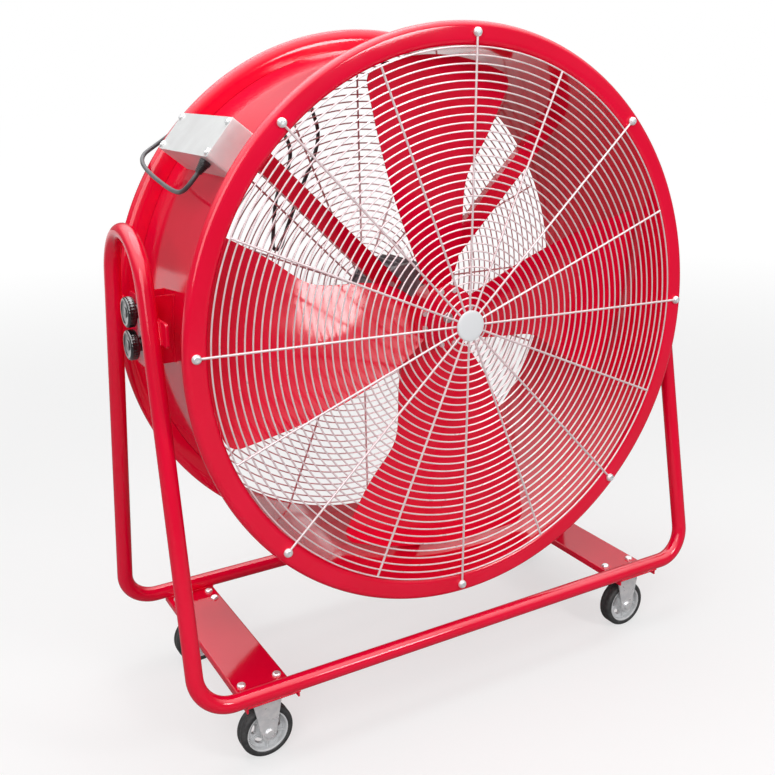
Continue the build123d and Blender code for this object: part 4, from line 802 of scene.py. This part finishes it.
def plug():
    """Moulded plug: ribbed neck, rounded body with finger ridges, and two round pins."""
    at = frame_at(PLUG_TOP, (0, 0, -1), (1, 0, 0))
    profile = [(0, 0), (0.0040, 0), (0.0046, 0.0008)]
    for k in range(6):
        radius, height = 0.0048 + 0.0003 * k, 0.0022 + 0.0038 * k
        profile += [(radius, height), (radius, height + 0.0022), (radius - 0.0010, height + 0.0026),
                    (radius - 0.0010, height + 0.0035)]
    profile += [(0.0068, 0.0252), (0, 0.0256)]
    shape = Shape().lathe(profile, at, 40)
    body = rounded(0.027, 0.021, 0.008, 7)
    rings = [(0.62, 0.0235), (0.80, 0.0245), (0.93, 0.0266), (0.99, 0.0298), (1.0, 0.034)]
    for k in range(5):
        start = 0.0372 + 0.0034 * k
        rings += [(1.0, start), (0.955, start + 0.0010), (0.955, start + 0.0020), (1.0, start + 0.0030)]
    rings += [(1.0, 0.0655), (0.985, 0.0678), (0.93, 0.0690)]
    shape.loft([[(px * size, py * size, z) for px, py in body] for size, z in rings], at)
    made = piece(shape, "plug_moulding", "cord_black", "drum", ["plug"], crease=40)
    pins = Shape()
    for off in (-0.0093, 0.0093):
        pins.lathe([(0, 0.0675), (0.0024, 0.0675), (0.0024, 0.0862), (0.0020, 0.0874), (0.0010, 0.0880),
                    (0, 0.0880)], at @ Matrix.Translation((off, 0, 0)), 24)
    return [made, piece(pins, "plug_pins", "core_steel", "drum")]


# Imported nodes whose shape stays, with their edges softened: node, bevel.
SOFTENED = {
    "base_channel_left": 0.0008, "base_channel_right": 0.0008,
    "pivot_plate_left": 0.0007, "pivot_plate_right": 0.0007,
    "tilt_bracket_left": 0.0007, "tilt_bracket_right": 0.0007,
    "motor_arm_1": 0.0006, "motor_arm_2": 0.0006, "motor_arm_3": 0.0006,
    "blade_1": 0.0006, "blade_2": 0.0006, "blade_3": 0.0006, "blade_4": 0.0006,
    "caster_fork_front_left": 0.0007, "caster_fork_front_right": 0.0007,
    "caster_fork_rear_left": 0.0007, "caster_fork_rear_right": 0.0007,
    "junction_box": 0.0009, "box_lid": 0.0010, "motor_housing": 0.0006, "cord_clips": 0.0005,
    "hub_bolts": 0.0004, "arm_bolts": 0.0004,
}


def soften():
    """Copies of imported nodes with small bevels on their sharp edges."""
    slots = {part["node"]: part["material_slot"] for part in frame["record"]["subparts"]}
    for body, members in frame["record"]["behaviour"]["bodies"].items():
        for node in members:
            if node in SOFTENED:
                piece(cad_shape(node), f"{node}_finished", slots[node], body, [node],
                      bevel=SOFTENED[node], crease=30, flat=True)


# ---------------------------------------------------------------- cord

COIL_CENTRE = (0.216, 0.223, 1.040)
# Radius and offset along the coil's axis at the start of each turn: in, across and out again.
COIL_LANES = ((0.050, -0.0044), (0.042, -0.0044), (0.034, -0.0044), (0.034, 0.0044), (0.042, 0.0044),
              (0.050, 0.0044))
COIL_DIP = 0.0036        # how far the crossing turn draws in
COIL_STEPS = 16

CORD_POINTS = (
    (-0.4568, -0.098, 1.0429),
    (-0.4695, -0.098, 1.0275),
    (-0.478, -0.084, 1.014),
    (-0.479, -0.055, 1.009),
    (-0.477, -0.005, 1.011),
    (-0.4745, 0.048, 1.017),
    (-0.4715, 0.100, 1.023),
    (-0.469, 0.148, 1.031),
    (-0.465, 0.190, 1.041),
    (-0.452, 0.224, 1.053),
    (-0.425, 0.240, 1.066),
    (-0.392, 0.236, 1.088),
    (-0.355, 0.229, 1.118),
    (-0.312, 0.225, 1.146),
    (-0.262, 0.223, 1.158),
    (-0.215, 0.222, 1.140),
    (-0.182, 0.2225, 1.110),
    (-0.139, 0.223, 1.042),
    (-0.186, 0.222, 0.960),
    (-0.193, 0.223, 0.905),
    (-0.197, 0.2225, 0.870),
    (-0.199, 0.222, 0.847),
    (-0.181, 0.223, 0.845),
    (-0.169, 0.224, 0.877),
    (-0.151, 0.223, 0.919),
    (-0.124, 0.222, 0.979),
    (-0.079, 0.223, 1.068),
    (-0.101, 0.224, 1.135),
    (-0.112, 0.223, 1.185),
    (-0.085, 0.222, 1.228),
    (-0.030, 0.223, 1.238),
    (0.035, 0.224, 1.232),
    (0.092, 0.223, 1.209),
    (0.135, 0.222, 1.172),
    (0.159, 0.222, 1.124),
    (0.1665, 0.220, 1.080),
    (0.166, 0.219, 1.050),
)
CORD_TAIL = ((0.1645, 0.2270, 1.032), (0.162, 0.226, 1.026))


def coil_points():
    """Turns of the coil: in three lanes before the grille, across, and out again in three behind."""
    points = []
    turns = len(COIL_LANES) - 1
    for step in range(turns * COIL_STEPS + 1):
        turn, share = divmod(step / COIL_STEPS, 1)
        start, end = COIL_LANES[int(turn)], COIL_LANES[min(int(turn) + 1, turns)]
        radius = start[0] + (end[0] - start[0]) * share
        across = start[1] + (end[1] - start[1]) * share
        if start[1] != end[1]:
            radius -= COIL_DIP * math.sin(math.pi * share)
        angle = math.pi + 2 * math.pi * step / COIL_STEPS
        points.append((COIL_CENTRE[0] + radius * math.cos(angle), COIL_CENTRE[1] + across,
                       COIL_CENTRE[2] + radius * math.sin(angle)))
    return points


def power_cord():
    """The whole cord on one spline: gland, rear rim, hanging fold, coil and plug."""
    points = list(CORD_POINTS) + coil_points() + list(CORD_TAIL)
    data = bpy.data.curves.new("cord", "CURVE")
    data.dimensions = "3D"
    data.bevel_depth = CORD_R
    data.bevel_resolution = 6
    data.resolution_u = 12
    line = data.splines.new("NURBS")
    line.points.add(len(points) - 1)
    for place, point in zip(line.points, points):
        place.co = (*point, 1)
    line.order_u = 3
    line.use_endpoint_u = True
    made = bpy.data.objects.new("cord", data)
    bpy.context.scene.collection.objects.link(made)
    made.data.materials.append(material_of("cord_black"))
    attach(made, "drum")
    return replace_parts(made, "power_cord", "cord_coil")


# ---------------------------------------------------------------- studio and camera

CAMERA_PLACE = (-0.99978, -1.69752, 1.19877)
CAMERA_RIGHT = (0.85931955, -0.51129233, -0.01225027)
CAMERA_DOWN = (-0.13605559, -0.20544547, -0.96916512)
CAMERA_FORWARD = (0.49300993, 0.83448925, -0.24610749)
CAMERA_LENS = 46.973
CAMERA_SHIFT = (-0.03282, -0.07641)
LAMPS = (
    # place, aim, size, watts
    ((-0.3, 0.2, 3.4), (0.0, 0.0, 0.6), 2.6, 50.0),
    ((-2.7, -2.8, 2.3), (0.0, 0.0, 0.7), 2.6, 68.0),
    ((1.1, -2.6, 1.8), (0.0, 0.0, 0.7), 0.7, 24.0),
)
WORLD_STRENGTH = 0.42
MIRRORED = (0.25, 4.5)   # dim walls and bright ceiling of the studio, as reflections see them
MIRRORED_RISE = (0.25, 0.90)       # where the one turns into the other, as the height of a direction
FLOOR_TONE = 0.36
FLOOR_LIFT = (0.60, 0.85)          # near the fan and far from it, so that it stays white throughout
FLOOR_REACH = (1.0, 6.0)
FLOOR_DIM_Y = (0.8, 4.0)           # in reflections, dark in front of the one and lit behind the other


def camera():
    """Camera at the photograph's place, from the fit of both rims, the stand and the screws."""
    data = bpy.data.cameras.new("camera")
    data.sensor_width = 36
    data.lens = CAMERA_LENS
    data.shift_x, data.shift_y = CAMERA_SHIFT
    data.clip_start, data.clip_end = 0.05, 60
    made = bpy.data.objects.new("camera", data)
    bpy.context.scene.collection.objects.link(made)
    right, down, forward = Vector(CAMERA_RIGHT), Vector(CAMERA_DOWN), Vector(CAMERA_FORWARD)
    turned = Matrix((right, -down, -forward)).transposed().to_4x4()
    made.matrix_world = Matrix.Translation(CAMERA_PLACE) @ turned
    bpy.context.scene.camera = made


def lamps():
    """Large soft lamps overhead and at the front left, and a small one at the front right."""
    for number, (place, aim, size, watts) in enumerate(LAMPS, 1):
        data = bpy.data.lights.new(f"lamp_{number}", "AREA")
        data.shape = "DISK"
        data.size = size
        data.energy = watts
        made = bpy.data.objects.new(f"lamp_{number}", data)
        bpy.context.scene.collection.objects.link(made)
        made.location = place
        made.rotation_mode = "QUATERNION"
        made.rotation_quaternion = (Vector(aim) - Vector(place)).to_track_quat("-Z", "Y")


def spread(nodes, links, value, low, high, start=0.0, end=1.0):
    """Takes a value from one range to another; either end of the new range may be a socket."""
    made = nodes.new("ShaderNodeMapRange")
    made.interpolation_type = "SMOOTHSTEP"
    made.inputs["From Min"].default_value = start
    made.inputs["From Max"].default_value = end
    links.new(value, made.inputs["Value"])
    for name, side in (("To Min", low), ("To Max", high)):
        if isinstance(side, (int, float)):
            made.inputs[name].default_value = side
        else:
            links.new(side, made.inputs[name])
    return made.outputs["Result"]


def ray_kind(nodes, links, *names):
    """1 for rays of the named kinds, and 0 for the others."""
    path = nodes.new("ShaderNodeLightPath")
    total = path.outputs[names[0]]
    for name in names[1:]:
        added = nodes.new("ShaderNodeMath")
        added.operation = "MAXIMUM"
        links.new(total, added.inputs[0])
        links.new(path.outputs[name], added.inputs[1])
        total = added.outputs["Value"]
    return total


def world():
    """Soft grey light all round; the camera sees white, and reflections a bright ceiling."""
    made = bpy.data.worlds.new("studio")
    bpy.context.scene.world = made
    made.use_nodes = True
    nodes, links = made.node_tree.nodes, made.node_tree.links
    backdrop = nodes["Background"]
    backdrop.inputs["Color"].default_value = (1, 1, 1, 1)
    way = nodes.new("ShaderNodeSeparateXYZ")
    links.new(nodes.new("ShaderNodeTexCoord").outputs["Generated"], way.inputs["Vector"])
    reflected = spread(nodes, links, way.outputs["Z"], *MIRRORED, *MIRRORED_RISE)
    unseen = spread(nodes, links, ray_kind(nodes, links, "Is Glossy Ray"), WORLD_STRENGTH, reflected)
    seen = ray_kind(nodes, links, "Is Camera Ray", "Is Transmission Ray")
    links.new(spread(nodes, links, seen, unseen, 1.0), backdrop.inputs["Strength"])


def floor():
    """Pale floor that shows only the fan's soft shadow, and mirrors lit only behind the fan."""
    made = bpy.data.materials.new("floor")
    made.use_nodes = True
    nodes, links = made.node_tree.nodes, made.node_tree.links
    shader = nodes["Principled BSDF"]
    shader.inputs["Base Color"].default_value = (FLOOR_TONE, FLOOR_TONE, FLOOR_TONE, 1)
    shader.inputs["Roughness"].default_value = 0.9
    shader.inputs["Specular IOR Level"].default_value = 0.0
    shader.inputs["Emission Color"].default_value = (1, 1, 1, 1)
    place = nodes.new("ShaderNodeTexCoord").outputs["Object"]
    away = nodes.new("ShaderNodeVectorMath")
    away.operation = "LENGTH"
    links.new(place, away.inputs[0])
    lift = spread(nodes, links, away.outputs["Value"], *FLOOR_LIFT, *FLOOR_REACH)
    along = nodes.new("ShaderNodeSeparateXYZ")
    links.new(place, along.inputs["Vector"])
    reflected = spread(nodes, links, along.outputs["Y"], 0.0, lift, *FLOOR_DIM_Y)
    lift = spread(nodes, links, ray_kind(nodes, links, "Is Glossy Ray"), lift, reflected)
    seen = ray_kind(nodes, links, "Is Camera Ray", "Is Glossy Ray", "Is Transmission Ray")
    links.new(spread(nodes, links, seen, 0.0, lift), shader.inputs["Emission Strength"])
    half = 30.0
    mesh = bpy.data.meshes.new("floor")
    corners = [(-half, -half, 0), (half, -half, 0), (half, half, 0), (-half, half, 0)]
    mesh.from_pydata(corners, [], [(0, 1, 2, 3)])
    ground = bpy.data.objects.new("floor", mesh)
    bpy.context.scene.collection.objects.link(ground)
    mesh.materials.append(made)


# ---------------------------------------------------------------- put it together

bpy.context.scene.view_settings.view_transform = "Standard"
dress_frame()
camera()
lamps()
world()
floor()

drum_shell()
grille("front_grille", -1)
grille("rear_grille", 1)
grille_badge()
drum_screws()
stand_welds()
bracket_welds()
for label, way in SIDES.items():
    frame_tube(f"frame_tube_{label}", way)
    knob(f"pivot_knob_{label}", way, 0)
    knob(f"lock_knob_{label}", way, LOCK_RADIUS)
for label, (across, along) in CORNERS.items():
    wheel(label, across, along)
motor_bell_front()
motor_bell_rear()
cable_gland()
soften()

cord = power_cord()
plug()
